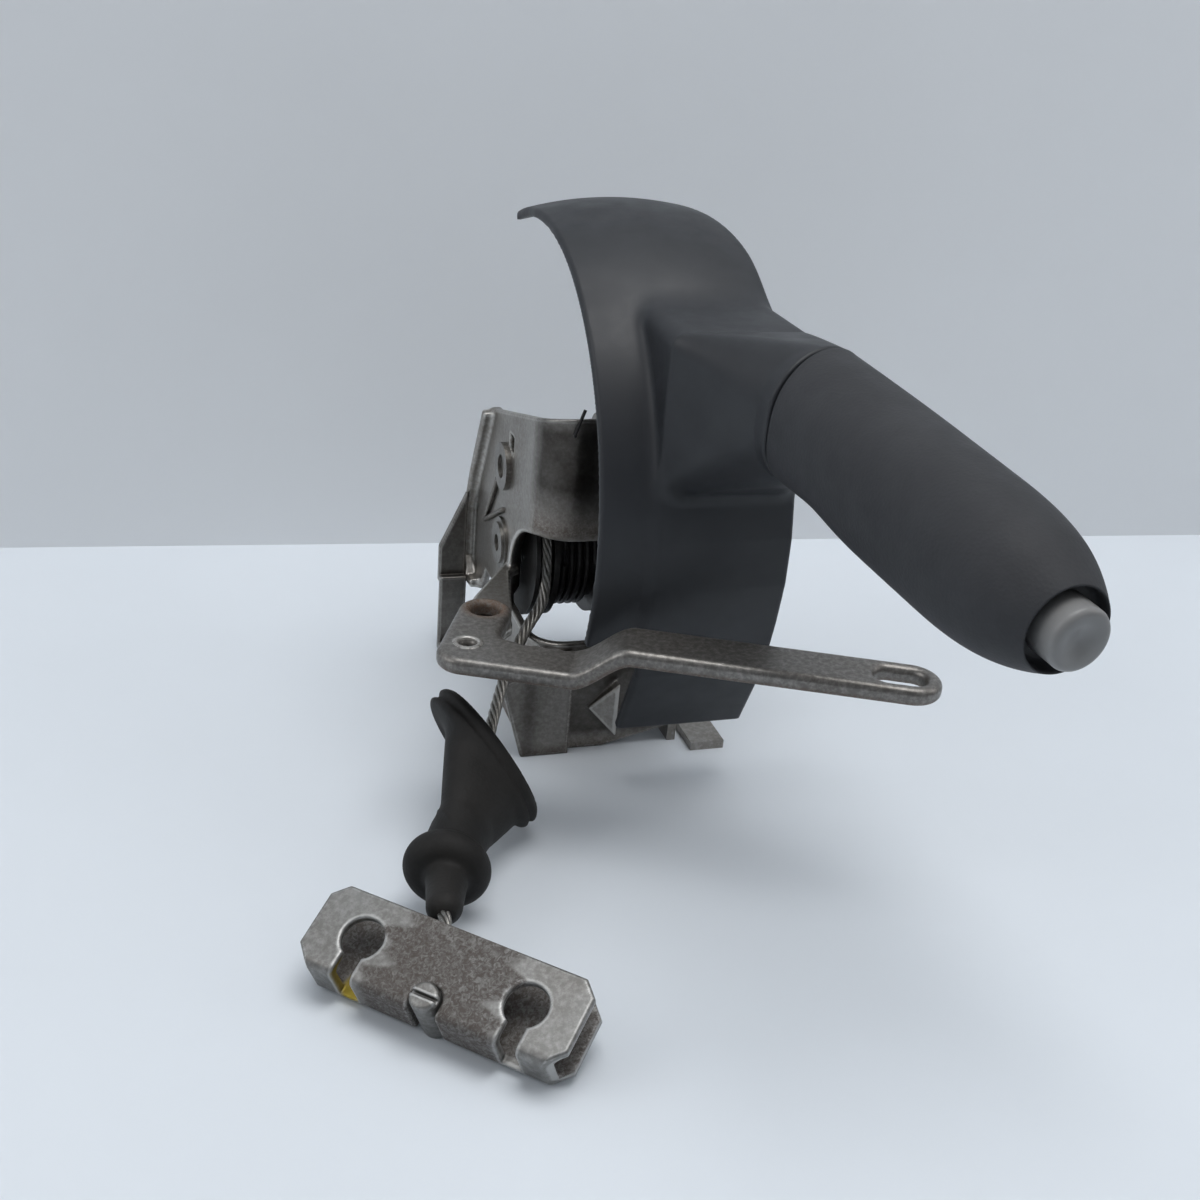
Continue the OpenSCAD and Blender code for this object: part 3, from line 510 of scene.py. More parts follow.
def baseField(x, y, z):
    b = base
    u, v = b["wallX"] + b["bend"] - x, b["frontY"] + b["bend"] - y
    skin = np.hypot(np.maximum(u, 0), np.maximum(v, 0)) + np.minimum(np.maximum(u, v), 0) - b["bend"]
    # the sheet unrolled: s runs along the left wall, round the bend and along the front wall
    quarter = (b["bend"] - b["sheet"] / 2) * math.pi / 2
    onBend = (u > 0) & (v > 0)
    onFront = ~onBend & (v > u)
    s = np.where(onBend, quarter * np.arctan2(v, np.maximum(u, 1e-6)) / (math.pi / 2),
                 np.where(onFront, quarter - u, v))
    flatY, flatX = b["frontY"] + b["bend"], b["wallX"] + b["bend"]
    over = b["top"] + 16
    wall = [(flatY - p[0], p[1]) for p in [(b["topRear"][0], over)] + rearEdge
            + [(22, 38), (10, 38), (2, 28), (-9, 10), (-9, 0)]]
    front = [(quarter + p[0] - flatX, p[1]) for p in [(20, 0), (b["rightX"], 6), (b["rightX"], b["cutZ"]),
             (b["cutX"], b["cutZ"]), (b["cutX"], over)]]
    rearY, rearZ = b["topRear"]
    steep = (b["top"] - rearZ) / (rearY - b["frontY"] + 5)
    slopeTop = (z - rearZ - steep * (rearY - y)) / math.hypot(1, steep)
    outline = np.maximum(outlineField(s, z, wall + front), slopeTop)
    # the window is cut along the bend's diagonal, and its lip turns inwards
    p = (x - y) / math.sqrt(2)
    w = roundedMax(roundedMax(b["archLeft"] - p, z - b["windowZ"][1], b["archRadius"]),
                   np.maximum(p - b["windowRight"], b["windowZ"][0] - z), 1.0)
    sheet = plate(np.maximum(outline, -w), skin + b["sheet"] / 2, b["sheet"] / 2, 0.7)
    depth = b["lipSide"] + (b["lip"] - b["lipSide"]) * np.clip(v / 6, 0, 1)
    lip = roundedMax(np.maximum(np.maximum(w - b["sheet"], -w), np.maximum(s - 33, b["windowZ"][0] + 4 - z)),
                     np.maximum(skin + 0.4, -skin - depth), 0.7)
    lip = np.maximum(lip, 7 - np.hypot(y, z - b["shaftZ"]))
    body = smoothJoin(sheet, lip, 2.2)
    # rolled rear edge of the left wall
    strip = rearEdge + [(28, 31), (35, 30), (40, 36), (40, 55), (34.4, 70), (19, 98)]
    flange = roundedMax(outlineField(y, z, strip),
                        np.abs(x - b["wallX"] - 0.5 * b["sheet"] + 0.5 * b["flange"])
                        - 0.5 * (b["flange"] + b["sheet"]), 1.0)
    body = smoothJoin(body, flange, 2.5)
    ear = [(-4, -13.4), (-4, -9.4), (-8, -9.4), (-24, -34), (-33, -51), (-18, -58), (-14, -44), (-8, -16.4)]
    earFlat = smoothJoin(outlineField(x, y, ear), np.hypot(x + 25.4, y + 54.4) - 8.3, 2.0)
    body = smoothJoin(body, plate(earFlat, z - 53.0, 1.5, 0.5), 1.5)
    # triangular boss pressed out of the lower wall
    boss = np.maximum(np.maximum(0.62 * (14 - x) + 0.35 * np.abs(z - 16) * 1.7, x - 23.5),
                      -(y + 49.5 - 0.35 * (23 - x)))
    body = smoothJoin(body, roundedMax(boss, y + 43, 0.5), 1.2)
    cuts = [np.hypot(x + 25.4, y + 54.4) - 4.5,
            boxField(x, y, z, (b["wallX"] - 4, -9, 93), (b["wallX"] + 7, -3, 99), 0.8),
            np.maximum(np.hypot(y, z - pivotHeight) - 5.9, x - 2),
            np.maximum(np.hypot(y, z - b["shaftZ"]) - 4.9, x - 2)]
    for cut in cuts:
        body = smoothCut(body, cut, 0.5)
    return body


# Rust lies in a band above the window and along the lower rim.
def baseRust(x, y, z):
    above = z - base["windowZ"][1]
    band = np.clip(above / 2, 0, 1) * np.clip(1 - above / 14, 0, 1) * (y < base["frontY"] + 9)
    return np.maximum(0.9 * band, np.clip(1 - z / 5, 0, 1) * (y < 0))


# A painted dark reflection lies on the upper front from the bend on, and the lower wall is darkened too.
def baseDarkening(x, y, z):
    rise = (np.clip((z - base["windowZ"][1] - 5) / 12, 0, 1)
            * (1 - 0.6 * np.clip((z - base["top"] + 7) / 6, 0, 1)))
    run = np.clip((base["frontY"] + base["bend"] - y) / 6, 0, 1) * (1 - 0.5 * np.clip((x - 9) / 4, 0, 1))
    lower = np.clip((50 - z) / 8, 0, 1) * np.clip((z - 3) / 4, 0, 1) * np.clip((x - 2) / 4, 0, 1)
    return np.maximum(rise * run, 0.8 * lower * (np.abs(y - base["frontY"]) < 0.7))


baseBracket = meshField("baseBracket", baseField, (-35, -64, 0), (44, 43, 120), base["step"], rusty=baseRust,
                        oily=baseDarkening)
wears(baseBracket, bareSteel, "base", "stamped_steel", "base_bracket")


def panelField(x, y, z):
    shape = [(-9, 0), (7.5, 0), (7.5, 38), (-10, 38), (-10.5, 31), (-17, 28)]
    return plate(outlineField(x, z, shape), y - base["frontY"] + 1.5, 1.5, 0.7)


# The panel is darker about x = -7 than towards its ends.
lowerPanel = meshField("lowerPanel", panelField, (-17, -48, 0), (8, -45, 38), 0.5,
                       rusty=lambda x, y, z: np.maximum(np.clip(1 - z / 5, 0, 1),
                                                        np.clip((x - 5.5) / 2, 0, 0.8)),
                       oily=lambda x, y, z: 0.3 + 0.4 * np.exp(-((x + 7) / 3) ** 2))
wears(lowerPanel, bareSteel, "base", "stamped_steel", "lower_panel")


def legField(x, y, z):
    profile = [(36, 0), (36, 27), (39, 27), (39, 66), (36, 66), (36, 30), (33, 30), (33, 3), (27, 3), (27, 0)]
    outline = [(-21, -1), (-11, -1), (-11, 63), (-21, 41)]
    return roundedMax(outlineField(y, z, profile), outlineField(x, z, outline), 0.6)


# The rear leg is darkened all over.
rearLeg = meshField("rearLeg", legField, (-21, 27, 0), (-11, 39, 66), 0.5, oily=lambda x, y, z: 0.55 + 0 * x)
wears(rearLeg, bareSteel, "base", "stamped_steel", "rear_leg")

strap = dict(turn=-25.0, thick=5.5, width=18.0, length=126.0, rise=10.0, top=60.0, near=-37.0, far=-19.0,
             joggle=(32.0, 50.0), lug=8.3, hole=4.5, slot=4.5, slotRun=6.0, scallop=4.0,
             scallopPitch=6.0, edge=2.2, step=0.5)
strapTurn = math.radians(strap["turn"])


def strapField(u, v, z):
    p = strap
    t = np.clip((u - p["joggle"][0]) / (p["joggle"][1] - p["joggle"][0]), 0, 1)
    lift = p["rise"] * t * t * (3 - 2 * t)
    steep = 1 + 0.2 * np.sin(math.pi * t)
    across = (z - p["top"] + p["thick"] / 2 - lift) / steep
    mid = (p["near"] + p["far"]) / 2
    half = p["width"] / 2
    left = p["near"] + p["lug"]
    end = p["length"] + p["slotRun"] / 2
    bar = np.hypot(u - np.clip(u, half, end), v - mid) - half
    bar = np.minimum(bar, np.hypot(u - np.clip(u, 0, 40),
                                   v - left - np.clip(v - left, 0, p["far"] - left - p["lug"])) - p["lug"])
    arm = np.hypot(u, v - np.clip(v, left, 0)) - p["lug"]
    flat = smoothJoin(bar, arm, np.where(v > p["far"] - 8, 6.0, 0.1))  # fillet only in the inner corner
    flat = np.maximum(flat, -p["lug"] - u)
    for i in range(3):  # scallops along the back edge
        at = p["joggle"][0] - 3 - p["scallopPitch"] * i
        flat = smoothCut(flat, np.hypot(u - at, v - p["far"] - p["scallop"] + 1.3) - p["scallop"], 0.8)
    holes = np.minimum(np.hypot(u, v) - p["hole"], np.hypot(u, v + 25) - 2.2)
    onSlot = np.clip(u - p["length"], -p["slotRun"] / 2, p["slotRun"] / 2)
    holes = np.minimum(holes, np.hypot(u - p["length"] - onSlot, v - mid) - p["slot"])
    rim = np.abs(np.hypot(u, v + 25) - 3.6) - 0.7
    body = plate(np.maximum(flat, -holes), across, p["thick"] / 2, p["edge"])
    return smoothJoin(body, np.maximum(rim, np.abs(across - p["thick"] / 2) - 0.35), 0.4)


def onStrap(q):
    c, s = math.cos(strapTurn), math.sin(strapTurn)
    return np.stack([q[:, 0] * c - q[:, 1] * s - shift[0], q[:, 0] * s + q[:, 1] * c - shift[1], q[:, 2]], 1)


# Rust rings the fixing hole and creeps up the lower half of the edges.
def strapRust(u, v, z):
    ring = np.clip(1.5 - (np.hypot(u, v) - strap["hole"]) / 3, 0, 1)
    t = np.clip((u - strap["joggle"][0]) / (strap["joggle"][1] - strap["joggle"][0]), 0, 1)
    under = strap["top"] + strap["rise"] * t * t * (3 - 2 * t) - 0.62 * strap["thick"] - z
    return np.maximum(ring, 0.8 * np.clip(under / 1.2, 0, 1))


mountingStrap = meshField("mountingStrap", strapField, (-8.5, -37.5, 54), (138.5, 8.5, 71), strap["step"],
                          onStrap, rusty=strapRust)
wears(mountingStrap, strapSteel, "base", "strap_steel", "mounting_strap")
print("base dressed")

# The cable's end: rope, boot, barrel and equalizer.
cable = dict(diameter=4.0, exit=(2.6, -24.0, 58.0), strands=6, lay=21.0, perPoint=10)
routePoints = [(2.6, -24, 58), (2.5, -24.6, 53), (0.2, -28.8, 47.5), (-6.5, -36.5, 42.5), (-13.4, -45, 36),
               (-19, -55, 30.5), (-24, -66, 26.5), (-30, -81, 22.5), (-38, -100, 18.5),
               (-50, -125, 16), (-55.5, -146, 17.6), (-57.4, -155, 17.6), (-60.5, -165.5, 12.8),
               (-63.2, -173.9, 8.8)]


def smoothPath(points, k):
    p = np.array(points, float)
    out = []
    for i in range(len(p) - 1):
        a, b, c, d = p[max(i - 1, 0)], p[i], p[i + 1], p[min(i + 2, len(p) - 1)]
        for t in np.arange(k) / k:
            out.append(0.5 * (2 * b + (c - a) * t + (2 * a - 5 * b + 4 * c - d) * t ** 2
                              + (3 * b - a - 3 * c + d) * t ** 3))
    return np.array(out + [p[-1]])


# Wire rope by Geometry Nodes: helical strands turned round a path, then given their thickness.
def ropeTree(name):
    tree = bpy.data.node_groups.new(name, "GeometryNodeTree")
    face = tree.interface
    face.new_socket("Geometry", in_out="INPUT", socket_type="NodeSocketGeometry")
    sizes = {}
    for label, value in (("Strand Radius", 0.0006), ("Helix Radius", 0.0013), ("Lay Length", 0.02),
                         ("Sample Step", 0.0006)):
        s = face.new_socket(label, in_out="INPUT", socket_type="NodeSocketFloat")
        s.default_value = value
        sizes[label] = s.identifier
    s = face.new_socket("Strands", in_out="INPUT", socket_type="NodeSocketInt")
    s.default_value = 6
    sizes["Strands"] = s.identifier
    s = face.new_socket("Finish", in_out="INPUT", socket_type="NodeSocketMaterial")
    sizes["Finish"] = s.identifier
    face.new_socket("Geometry", in_out="OUTPUT", socket_type="NodeSocketGeometry")
    new, join = tree.nodes.new, tree.links.new
    given, result = new("NodeGroupInput"), new("NodeGroupOutput")

    def calc(how, a, b=0.0):
        n = new("ShaderNodeMath")
        n.operation = how
        for i, value in enumerate((a, b)):
            if isinstance(value, bpy.types.NodeSocket):
                join(value, n.inputs[i])
            else:
                n.inputs[i].default_value = value
        return n.outputs[0]

    even = new("GeometryNodeResampleCurve")
    even.mode = "LENGTH"
    join(given.outputs["Geometry"], even.inputs["Curve"])
    join(given.outputs["Sample Step"], even.inputs["Length"])
    copies = new("GeometryNodeDuplicateElements")
    copies.domain = "SPLINE"
    join(even.outputs["Curve"], copies.inputs["Geometry"])
    join(given.outputs["Strands"], copies.inputs["Amount"])
    along = new("GeometryNodeSplineParameter").outputs["Length"]
    turns = calc("DIVIDE", along, given.outputs["Lay Length"])
    start = calc("DIVIDE", copies.outputs["Duplicate Index"], given.outputs["Strands"])
    angle = calc("MULTIPLY", calc("ADD", turns, start), 2 * math.pi)
    normal, heading = new("GeometryNodeInputNormal"), new("GeometryNodeInputTangent")
    side = new("ShaderNodeVectorMath")
    side.operation = "CROSS_PRODUCT"
    join(normal.outputs[0], side.inputs[0])
    join(heading.outputs[0], side.inputs[1])

    def scaled(vector, amount):
        n = new("ShaderNodeVectorMath")
        n.operation = "SCALE"
        join(vector, n.inputs[0])
        join(amount, n.inputs["Scale"])
        return n.outputs[0]

    reach = given.outputs["Helix Radius"]
    offset = new("ShaderNodeVectorMath")
    offset.operation = "ADD"
    join(scaled(normal.outputs[0], calc("MULTIPLY", calc("COSINE", angle), reach)), offset.inputs[0])
    join(scaled(side.outputs[0], calc("MULTIPLY", calc("SINE", angle), reach)), offset.inputs[1])
    # the offset is worked out on the path itself, before the strands move
    moved = new("GeometryNodeSetPosition")
    join(copies.outputs["Geometry"], moved.inputs["Geometry"])
    join(offset.outputs[0], moved.inputs["Offset"])
    profile = new("GeometryNodeCurvePrimitiveCircle")
    profile.inputs["Resolution"].default_value = 8
    join(given.outputs["Strand Radius"], profile.inputs["Radius"])
    skin = new("GeometryNodeCurveToMesh")
    skin.inputs["Fill Caps"].default_value = True
    join(moved.outputs["Geometry"], skin.inputs["Curve"])
    join(profile.outputs["Curve"], skin.inputs["Profile Curve"])
    smooth = new("GeometryNodeSetShadeSmooth")
    join(skin.outputs["Mesh"], smooth.inputs["Geometry"])
    real, finish = new("GeometryNodeRealizeInstances"), new("GeometryNodeSetMaterial")
    join(smooth.outputs["Geometry"], real.inputs["Geometry"])
    join(real.outputs["Geometry"], finish.inputs["Geometry"])
    join(given.outputs["Finish"], finish.inputs["Material"])
    join(finish.outputs["Geometry"], result.inputs["Geometry"])
    return tree, sizes


def pathCurve(name, points):
    data = bpy.data.curves.new(name, "CURVE")
    data.dimensions = "3D"
    data.twist_mode = "MINIMUM"
    spline = data.splines.new("POLY")
    spline.points.add(len(points) - 1)
    for q, p in zip(spline.points, points):
        q.co = (*rowPoint(p), 1)
    obj = bpy.data.objects.new(name, data)
    bpy.context.scene.collection.objects.link(obj)
    return obj


def alongPath(name, points, tree, sizes, **values):
    source = pathCurve(name + "Path", points)
    mod = source.modifiers.new("shape", "NODES")
    mod.node_group = tree
    for label, value in values.items():
        mod[sizes[label.replace("_", " ")]] = value
    deps = bpy.context.evaluated_depsgraph_get()
    mesh = bpy.data.meshes.new_from_object(source.evaluated_get(deps))
    mesh.name = name
    bpy.data.objects.remove(source)
    obj = bpy.data.objects.new(name, mesh)
    bpy.context.scene.collection.objects.link(obj)
    print(name, len(mesh.polygons), "faces")
    return obj


rope, ropeSizes = ropeTree("wireRope")
cablePath = smoothPath(routePoints, cable["perPoint"])
ropeLook = dict(Strand_Radius=0.00068, Helix_Radius=0.00128, Lay_Length=cable["lay"] * mm, Sample_Step=0.0007,
                Strands=cable["strands"], Finish=ropeSteel)
brakeCable = alongPath("brakeCable", cablePath, rope, ropeSizes, **ropeLook)
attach(brakeCable, "base")
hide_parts("brake_cable")
wrap = dict(x=2.6, radius=24.0, span=251, every=3)
wrapAngles = np.radians(np.arange(0, wrap["span"], wrap["every"]))
wrapPath = [(wrap["x"], -wrap["radius"] * math.cos(a), base["shaftZ"] + wrap["radius"] * math.sin(a))
            for a in wrapAngles]
cableWrap = alongPath("cableWrap", wrapPath, rope, ropeSizes, **ropeLook)
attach(cableWrap, "base")
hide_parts("cable_wrap")

boot = dict(at=(-28.3, -80.8, 23.4), u=(-0.498, 0.580, 0.644), facing=(-0.844, -0.319, -0.408),
            half=(24.0, 17.0), rim=6.0, neck=(-45, -114, 17.5), bulb=(-50, -125, 16), bulbRadius=12.5,
            bulbHalf=5.5, end=(-55.5, -146, 17.6), step=0.6)
bootU = np.array(boot["u"]) / np.linalg.norm(boot["u"])
bootV = np.cross(boot["facing"], bootU)
bootV /= np.linalg.norm(bootV)
bootN = np.cross(bootU, bootV)


def bootField(x, y, z):
    b = boot
    px, py, pz = x - b["at"][0], y - b["at"][1], z - b["at"][2]
    u = px * bootU[0] + py * bootU[1] + pz * bootU[2]
    v = px * bootV[0] + py * bootV[1] + pz * bootV[2]
    w = px * bootN[0] + py * bootN[1] + pz * bootN[2]

    def oval(less):
        a, c = b["half"][0] - less, b["half"][1] - less
        k = np.hypot(u / a, v / c)
        return (k - 1) * min(a, c)

    rim = plate(oval(0), w - b["rim"] / 2, b["rim"] / 2, 1.6)
    groove = np.hypot(oval(-0.6), w - 3.0) - 1.3  # groove that the panel's edge sits in
    rim = smoothCut(rim, groove, 0.8)
    # funnel: the oval shrinks towards the neck
    neck = np.array(b["neck"], float) - np.array(b["at"])
    nu, nv, nw = neck.dot(bootU), neck.dot(bootV), neck.dot(bootN)
    t = np.clip(w / nw, 0, 1)
    e = t ** 1.1
    a, c = (b["half"][0] - 3) * (1 - e) + 8.5 * e, (b["half"][1] - 3) * (1 - e) + 8.5 * e
    funnel = (np.hypot((u - nu * t) / a, (v - nv * t) / c) - 1) * np.minimum(a, c) * 0.8
    funnel = np.maximum(funnel, np.maximum(-w, w - nw))
    body = smoothJoin(rim, funnel, 4.0)
    pipe = stick(x, y, z, b["neck"], b["bulb"], 8.4, 9.0)
    body = smoothJoin(body, pipe, 3.0)
    d = np.array(b["bulb"], float) - np.array(b["neck"], float)
    d /= np.linalg.norm(d)
    s = (x - b["bulb"][0]) * d[0] + (y - b["bulb"][1]) * d[1] + (z - b["bulb"][2]) * d[2]
    away = np.sqrt(np.maximum((x - b["bulb"][0]) ** 2 + (y - b["bulb"][1]) ** 2
                              + (z - b["bulb"][2]) ** 2 - s * s, 0))
    bulb = np.hypot(np.maximum(away - b["bulbRadius"] + b["bulbHalf"], 0), s - 2) - b["bulbHalf"]
    body = smoothJoin(body, bulb, 1.2)
    nozzle = stick(x, y, z, b["bulb"], b["end"], 6.4, 5.0)
    body = smoothJoin(body, nozzle, 2.0)
    inside = np.maximum((np.hypot((u - nu * t) / (a - 3), (v - nv * t) / (c - 3)) - 1) * np.minimum(a, c),
                        np.maximum(-w - 2, w - nw + 3))
    return smoothCut(body, inside, 1.0)


cableBoot = meshField("cableBoot", bootField, (-64, -154, -2), (-4, -58, 46), boot["step"])
wears(cableBoot, bootRubber, "base", "boot_rubber", "cable_boot")

yoke = dict(at=(-64.4, -175.1, 0.2), turn=(27.0, 0.0, -43.7), length=78.0, width=24.0, height=14.0,
            sheet=2.5, keyRadius=5.8, keyNeck=2.8, pitch=48.0, barrelRadius=3.8, barrelY=3.6,
            gap=0.4, fold=2.6, step=0.4)
yokeTurn = np.array(Matrix.Rotation(math.radians(yoke["turn"][2]), 3, "Z")
                    @ Matrix.Rotation(math.radians(yoke["turn"][0]), 3, "X"))


def onYoke(q):
    return np.asarray(q, float) @ yokeTurn.T + np.array(yoke["at"])


def yokeField(x, y, z):
    e = yoke
    half = e["length"] / 2
    shape = [(-half, 5), (5 - half, 0), (half - 5, 0), (half, 5), (half, e["width"] - 4),
             (half - 4, e["width"]), (4 - half, e["width"]), (-half, e["width"] - 4)]
    flat = outlineField(x, y, shape)
    slotHalf = e["barrelRadius"] + e["gap"]
    seat = np.minimum(np.hypot(x, y - e["barrelY"]) - slotHalf,
                      np.maximum(np.abs(x) - slotHalf, y - e["barrelY"]))
    flat = smoothCut(flat, seat, 0.6)
    solid = plate(flat, z - e["height"] / 2, e["height"] / 2, 0.8)
    solid = np.maximum(solid, roundedMax(-y, np.abs(z - e["height"] / 2) - e["height"] / 2, e["fold"]))
    bay = roundedMax(e["sheet"] - y, np.abs(z - e["height"] / 2) - e["height"] / 2 + e["sheet"], 1.5)
    body = smoothCut(solid, bay, 0.7)
    # keyholes through the top and the front, above the lower plate
    for s in (-1, 1):
        at = s * e["pitch"] / 2
        key = np.minimum(np.hypot(x - at, y - e["width"] / 2) - e["keyRadius"],
                         np.maximum(np.abs(x - at) - e["keyNeck"], y - e["width"] / 2))
        body = smoothCut(body, np.maximum(key, e["sheet"] + e["gap"] - z), 0.6)
    return body


# The middle and the inside of the fold are rusty, and grease sits in one keyhole's neck.
def yokeRust(x, y, z):
    wave = 3 * np.sin(0.5 * y) + 2 * np.sin(1.1 * y + 2)
    middle = np.clip((19 - np.abs(x - 1) + wave) / 3, 0, 1)
    inside = ((z < yoke["height"] - yoke["sheet"] + 0.2) & (z > yoke["sheet"] - 0.2)
              & (y > yoke["sheet"] - 0.2))
    return np.where(inside, 1.0, middle)


def yokeGrease(x, y, z):
    away = np.hypot((x + yoke["pitch"] / 2) / 4, (y - 3) / 5)
    return np.clip(3 * (1 - away), 0, 1) * (z < yoke["height"] - 1)


equalizer = meshField("equalizerYoke", yokeField, (-39, 0, 0), (39, 24, 14), yoke["step"], onYoke, 1.2,
                      rusty=yokeRust, grease=yokeGrease)
wears(equalizer, zincPlate, "equalizer", "equalizer_zinc", "equalizer")


def barrelField(x, y, z):
    e = yoke
    r = np.hypot(x, y - e["barrelY"])
    body = plate(r - e["barrelRadius"], z - 7.75, 8.75, 1.0)
    slit = boxField(x, y, z, (-6, e["barrelY"] - 0.5, 14.9), (6, e["barrelY"] + 0.5, 18))
    return smoothCut(body, slit, 0.3)


cableBarrel = meshField("cableBarrel", barrelField, (-4, -0.4, -1), (4, 7.6, 16.5), 0.25, onYoke, 1.0)
wears(cableBarrel, zincPlate, "base", "cable_steel", "cable_nipple")

# The drum's coil spring, whose thin wire end hooks over the front wall, and the hairpin on the left wall.
coil = dict(start=9.5, run=11.0, radius=21.5, turns=4, perTurn=32, wire=0.0011, legWire=0.00055)
coilPoints = coil["turns"] * coil["perTurn"]
coilAngles = [math.radians(360 / coil["perTurn"] * i) for i in range(coilPoints + 1)]
coilPath = [(coil["start"] + coil["run"] * i / coilPoints, -coil["radius"] * math.cos(a),
             base["shaftZ"] - coil["radius"] * math.sin(a)) for i, a in enumerate(coilAngles)]
legPath = [(4.8, -46.4, 121), (2.2, -46, 113), (4.5, -39.5, 109), coilPath[0]]
wireLook = dict(Helix_Radius=0.0, Lay_Length=1.0, Sample_Step=0.0012, Strands=1, Finish=blackSteel)
for piece, path, radius in (("drumSpring", coilPath, coil["wire"]), ("springLeg", legPath, coil["legWire"])):
    wire = alongPath(piece, path, rope, ropeSizes, Strand_Radius=radius, **wireLook)
    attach(wire, "base")
    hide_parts("drum_spring")


def softCorner(points, r, n=6):
    p = [np.array(q, float) for q in points]
    out = [p[0]]
    for a, b, c in zip(p, p[1:], p[2:]):
        d0, d1 = (a - b) / np.linalg.norm(a - b), (c - b) / np.linalg.norm(c - b)
        out += [(1 - t) ** 2 * (b + r * d0) + 2 * t * (1 - t) * b + t * t * (b + r * d1)
                for t in np.linspace(0, 1, n)]
    return out + [p[-1]]


hairpinPath = softCorner([(-7.9, 6.6, 79.4), (-7.9, 23, 57), (-7.9, -1, 70.5), (-4, -1, 70.5)], 1.6)
hairpin = alongPath("hairpinSpring", hairpinPath, rope, ropeSizes, Strand_Radius=0.0009, Helix_Radius=0.0,
                    Lay_Length=1.0, Sample_Step=0.0006, Strands=1, Finish=springSteel)
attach(hairpin, "base")
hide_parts("hairpin_spring")

# The button's return spring stands on its seat in the lever.
returnSpring = dict(radius=5.0, wire=0.9, low=34.9, high=69.1, turns=8, perTurn=24)
windings = np.linspace(0, 1, returnSpring["turns"] * returnSpring["perTurn"] + 1)
windAngle = 2 * math.pi * returnSpring["turns"] * windings + math.pi / 2
springHeight = returnSpring["low"] + (returnSpring["high"] - returnSpring["low"]) * windings
springPath = onGrip(np.stack([returnSpring["radius"] * np.cos(windAngle),
                              returnSpring["radius"] * np.sin(windAngle), springHeight], 1))
buttonSpring = alongPath("buttonSpring", springPath, rope, ropeSizes, Strand_Radius=returnSpring["wire"] * mm,
                         Helix_Radius=0.0, Lay_Length=1.0, Sample_Step=0.0012, Strands=1, Finish=springSteel)
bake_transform(buttonSpring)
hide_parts("button_spring")
print("springs wound")

# Finishes of the pieces that keep their own solids.
finishOf = {
    "side_plate": bareSteel, "pivot_pin": pinSteel, "spring_rivet": pinSteel, "drum_shaft": pinSteel,
    "ratchet_sector": pinSteel, "sector_rivets": pinSteel, "lever_arm": bareSteel, "pivot_bush": bushBrass,
    "link_pin": pinSteel, "pawl_pin": pinSteel, "lever_tube": pinSteel, "cover_clip": coverPlastic,
    "button_guide": guidePlastic, "spring_seat": pinSteel, "release_rod": pinSteel, "pawl": pinSteel,
    "cable_drum": blackSteel, "crank_pin": pinSteel, "drive_link": pinSteel,
}
for name, mat in finishOf.items():
    nodes[name].data.materials.clear()
    nodes[name].data.materials.append(mat)
print("solids finished:", len(finishOf))

# Pale floor and a wall that stands behind the part, slightly turned to the camera.
room = dict(floor=srgb(219, 225, 231), wall=srgb(232, 235, 238), wallAt=(0.123, 0.18), wallTurn=-4.74,
            reach=3.0)


def stageSheet(name, corners, colour, mottling):
    obj = addPiece(name, corners, [(0, 1, 2, 3)], smooth=False)
    mat, tree, shader = newFinish(name + "Paint")
    cloud = ramp(tree, noise(tree, 6, 4, 0.6), [(0.3, 0.0), (0.7, 1.0)])
    link(tree, mixed(tree, cloud, colour, tuple(c * mottling for c in colour)), shader, "Base Color")
    shader.inputs["Roughness"].default_value = 0.7
    shader.inputs["Specular IOR Level"].default_value = 0.2
    # only the front of a sheet is painted, so a view from behind looks through it
    behind = addNode(tree, "ShaderNodeNewGeometry").outputs["Backfacing"]
    clear = addNode(tree, "ShaderNodeBsdfTransparent").outputs["BSDF"]
    paint = addNode(tree, "ShaderNodeMixShader", {0: behind, 1: shader.outputs["BSDF"], 2: clear})
    tree.links.new(paint.outputs["Shader"], tree.nodes["Material Output"].inputs["Surface"])
    obj.data.materials.append(mat)


reach = room["reach"]
alongWall = Vector((math.cos(math.radians(room["wallTurn"])), math.sin(math.radians(room["wallTurn"])), 0))
foot = Vector((*room["wallAt"], floorLevel))
wallLeft, wallRight = foot - reach * alongWall, foot + reach * alongWall
stageSheet("floorSheet",
           [(x * reach, y * reach, floorLevel) for x, y in ((-1, -1), (1, -1), (1, 1), (-1, 1))],
           room["floor"], 0.97)
upWall = Vector((0, 0, reach))
stageSheet("backSheet", [wallLeft, wallRight, wallRight + upWall, wallLeft + upWall], room["wall"], 0.98)


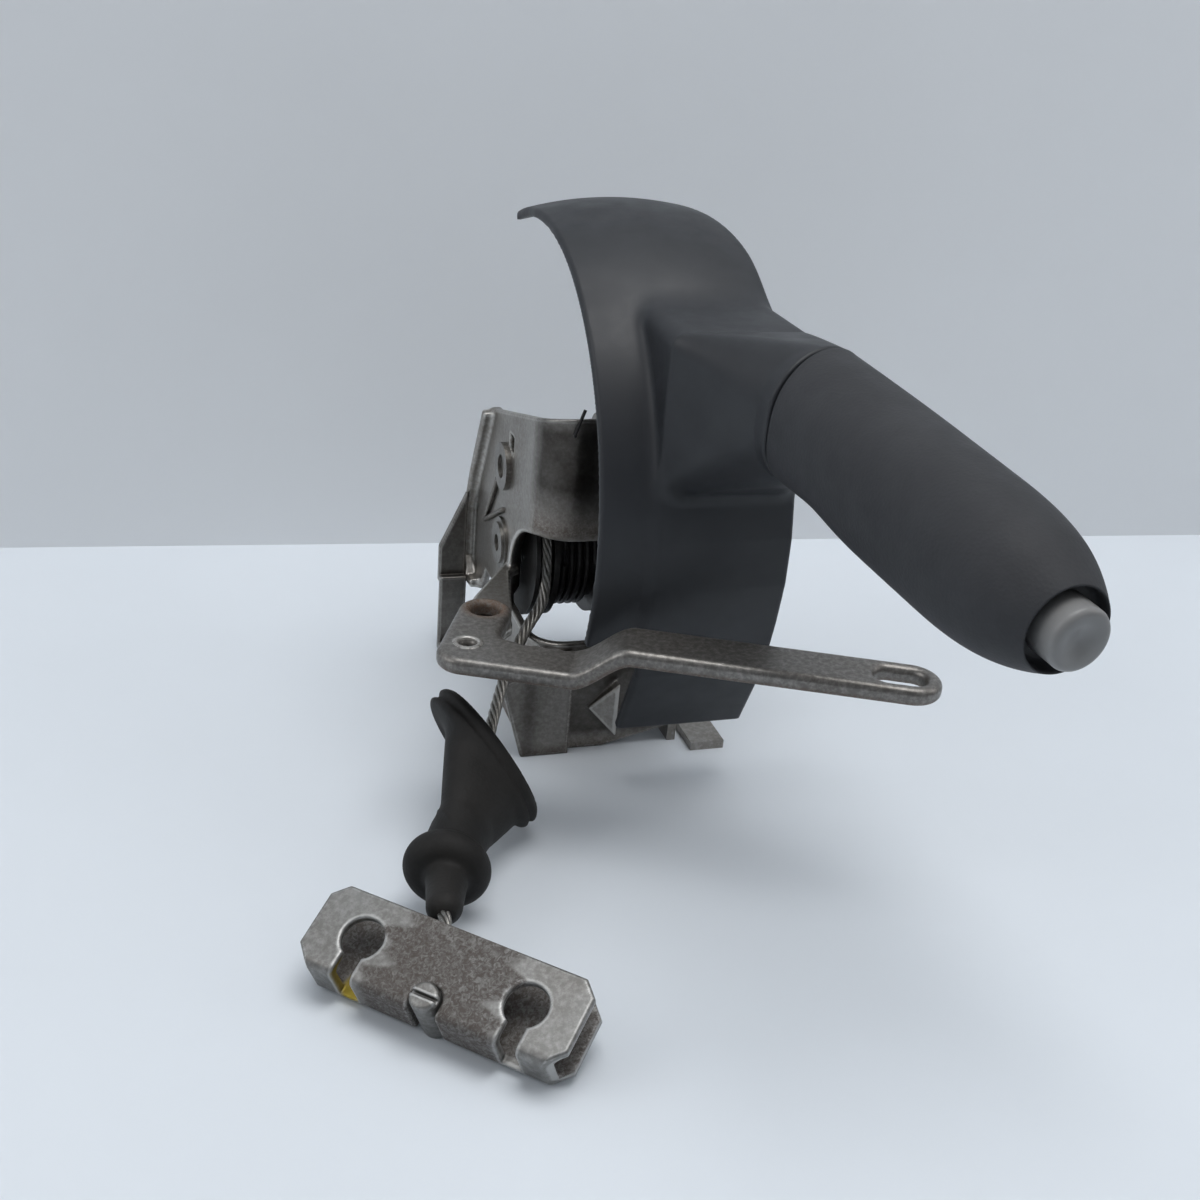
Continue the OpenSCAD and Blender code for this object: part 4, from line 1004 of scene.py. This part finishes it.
def softLamp(name, at, target, size, power):
    data = bpy.data.lights.new(name, "AREA")
    data.shape = "DISK"
    data.size = size
    data.energy = power
    obj = bpy.data.objects.new(name, data)
    obj.location = at
    obj.rotation_euler = (Vector(target) - Vector(at)).to_track_quat("-Z", "Y").to_euler()
    bpy.context.scene.collection.objects.link(obj)


softLamp("topLamp", (0.15, -0.05, 1.5), (0, 0, 0), 1.2, 16)
softLamp("leftLamp", (-1.2, -0.1, 0.8), (0, 0, 0.02), 0.8, 3.2)
softLamp("rightLamp", (1.2, -0.4, 0.8), (0.05, -0.05, 0.05), 0.9, 2)


# A room that is bright above and behind the part and dark on the camera's side, so that steel shows contrast.
def studioWorld(dark, bright):
    world = bpy.data.worlds.new("studio")
    world.use_nodes = True
    tree = world.node_tree
    heading = addNode(tree, "ShaderNodeTexCoord").outputs["Generated"]
    way = addNode(tree, "ShaderNodeSeparateXYZ", {0: heading})
    lift = maths(tree, "ADD", maths(tree, "MULTIPLY", way.outputs["Y"], 0.45),
                 maths(tree, "MULTIPLY", way.outputs["Z"], 0.5))
    tint = ramp(tree, maths(tree, "ADD", lift, 0.5), [(0.15, dark), (0.75, bright)])
    tree.links.new(tint, tree.nodes["Background"].inputs["Color"])
    bpy.context.scene.world = world


studioWorld((0.06, 0.062, 0.066), (0.5, 0.52, 0.55))

shot = dict(place=(-0.1037, -0.4098, 0.2024), right=(0.9455, -0.3256, 0.0), up=(0.1376, 0.3996, 0.9063),
            roll=5.0, lens=45.0)
lens = bpy.data.cameras.new("photoCamera")
lens.lens = shot["lens"]
lens.sensor_width = 36
lens.sensor_fit = "HORIZONTAL"
lens.clip_start = 0.01
camera = bpy.data.objects.new("photoCamera", lens)
bpy.context.scene.collection.objects.link(camera)
roll = math.radians(shot["roll"])
right, up = Vector(shot["right"]), Vector(shot["up"])
axisX = (math.cos(roll) * right + math.sin(roll) * up).normalized()
axisY = (-math.sin(roll) * right + math.cos(roll) * up).normalized()
axisZ = axisX.cross(axisY)
camera.matrix_world = Matrix.Translation(shot["place"]) @ Matrix((axisX, axisY, axisZ)).transposed().to_4x4()
bpy.context.scene.camera = camera
bpy.context.scene.view_settings.view_transform = "Standard"
print("stage set")
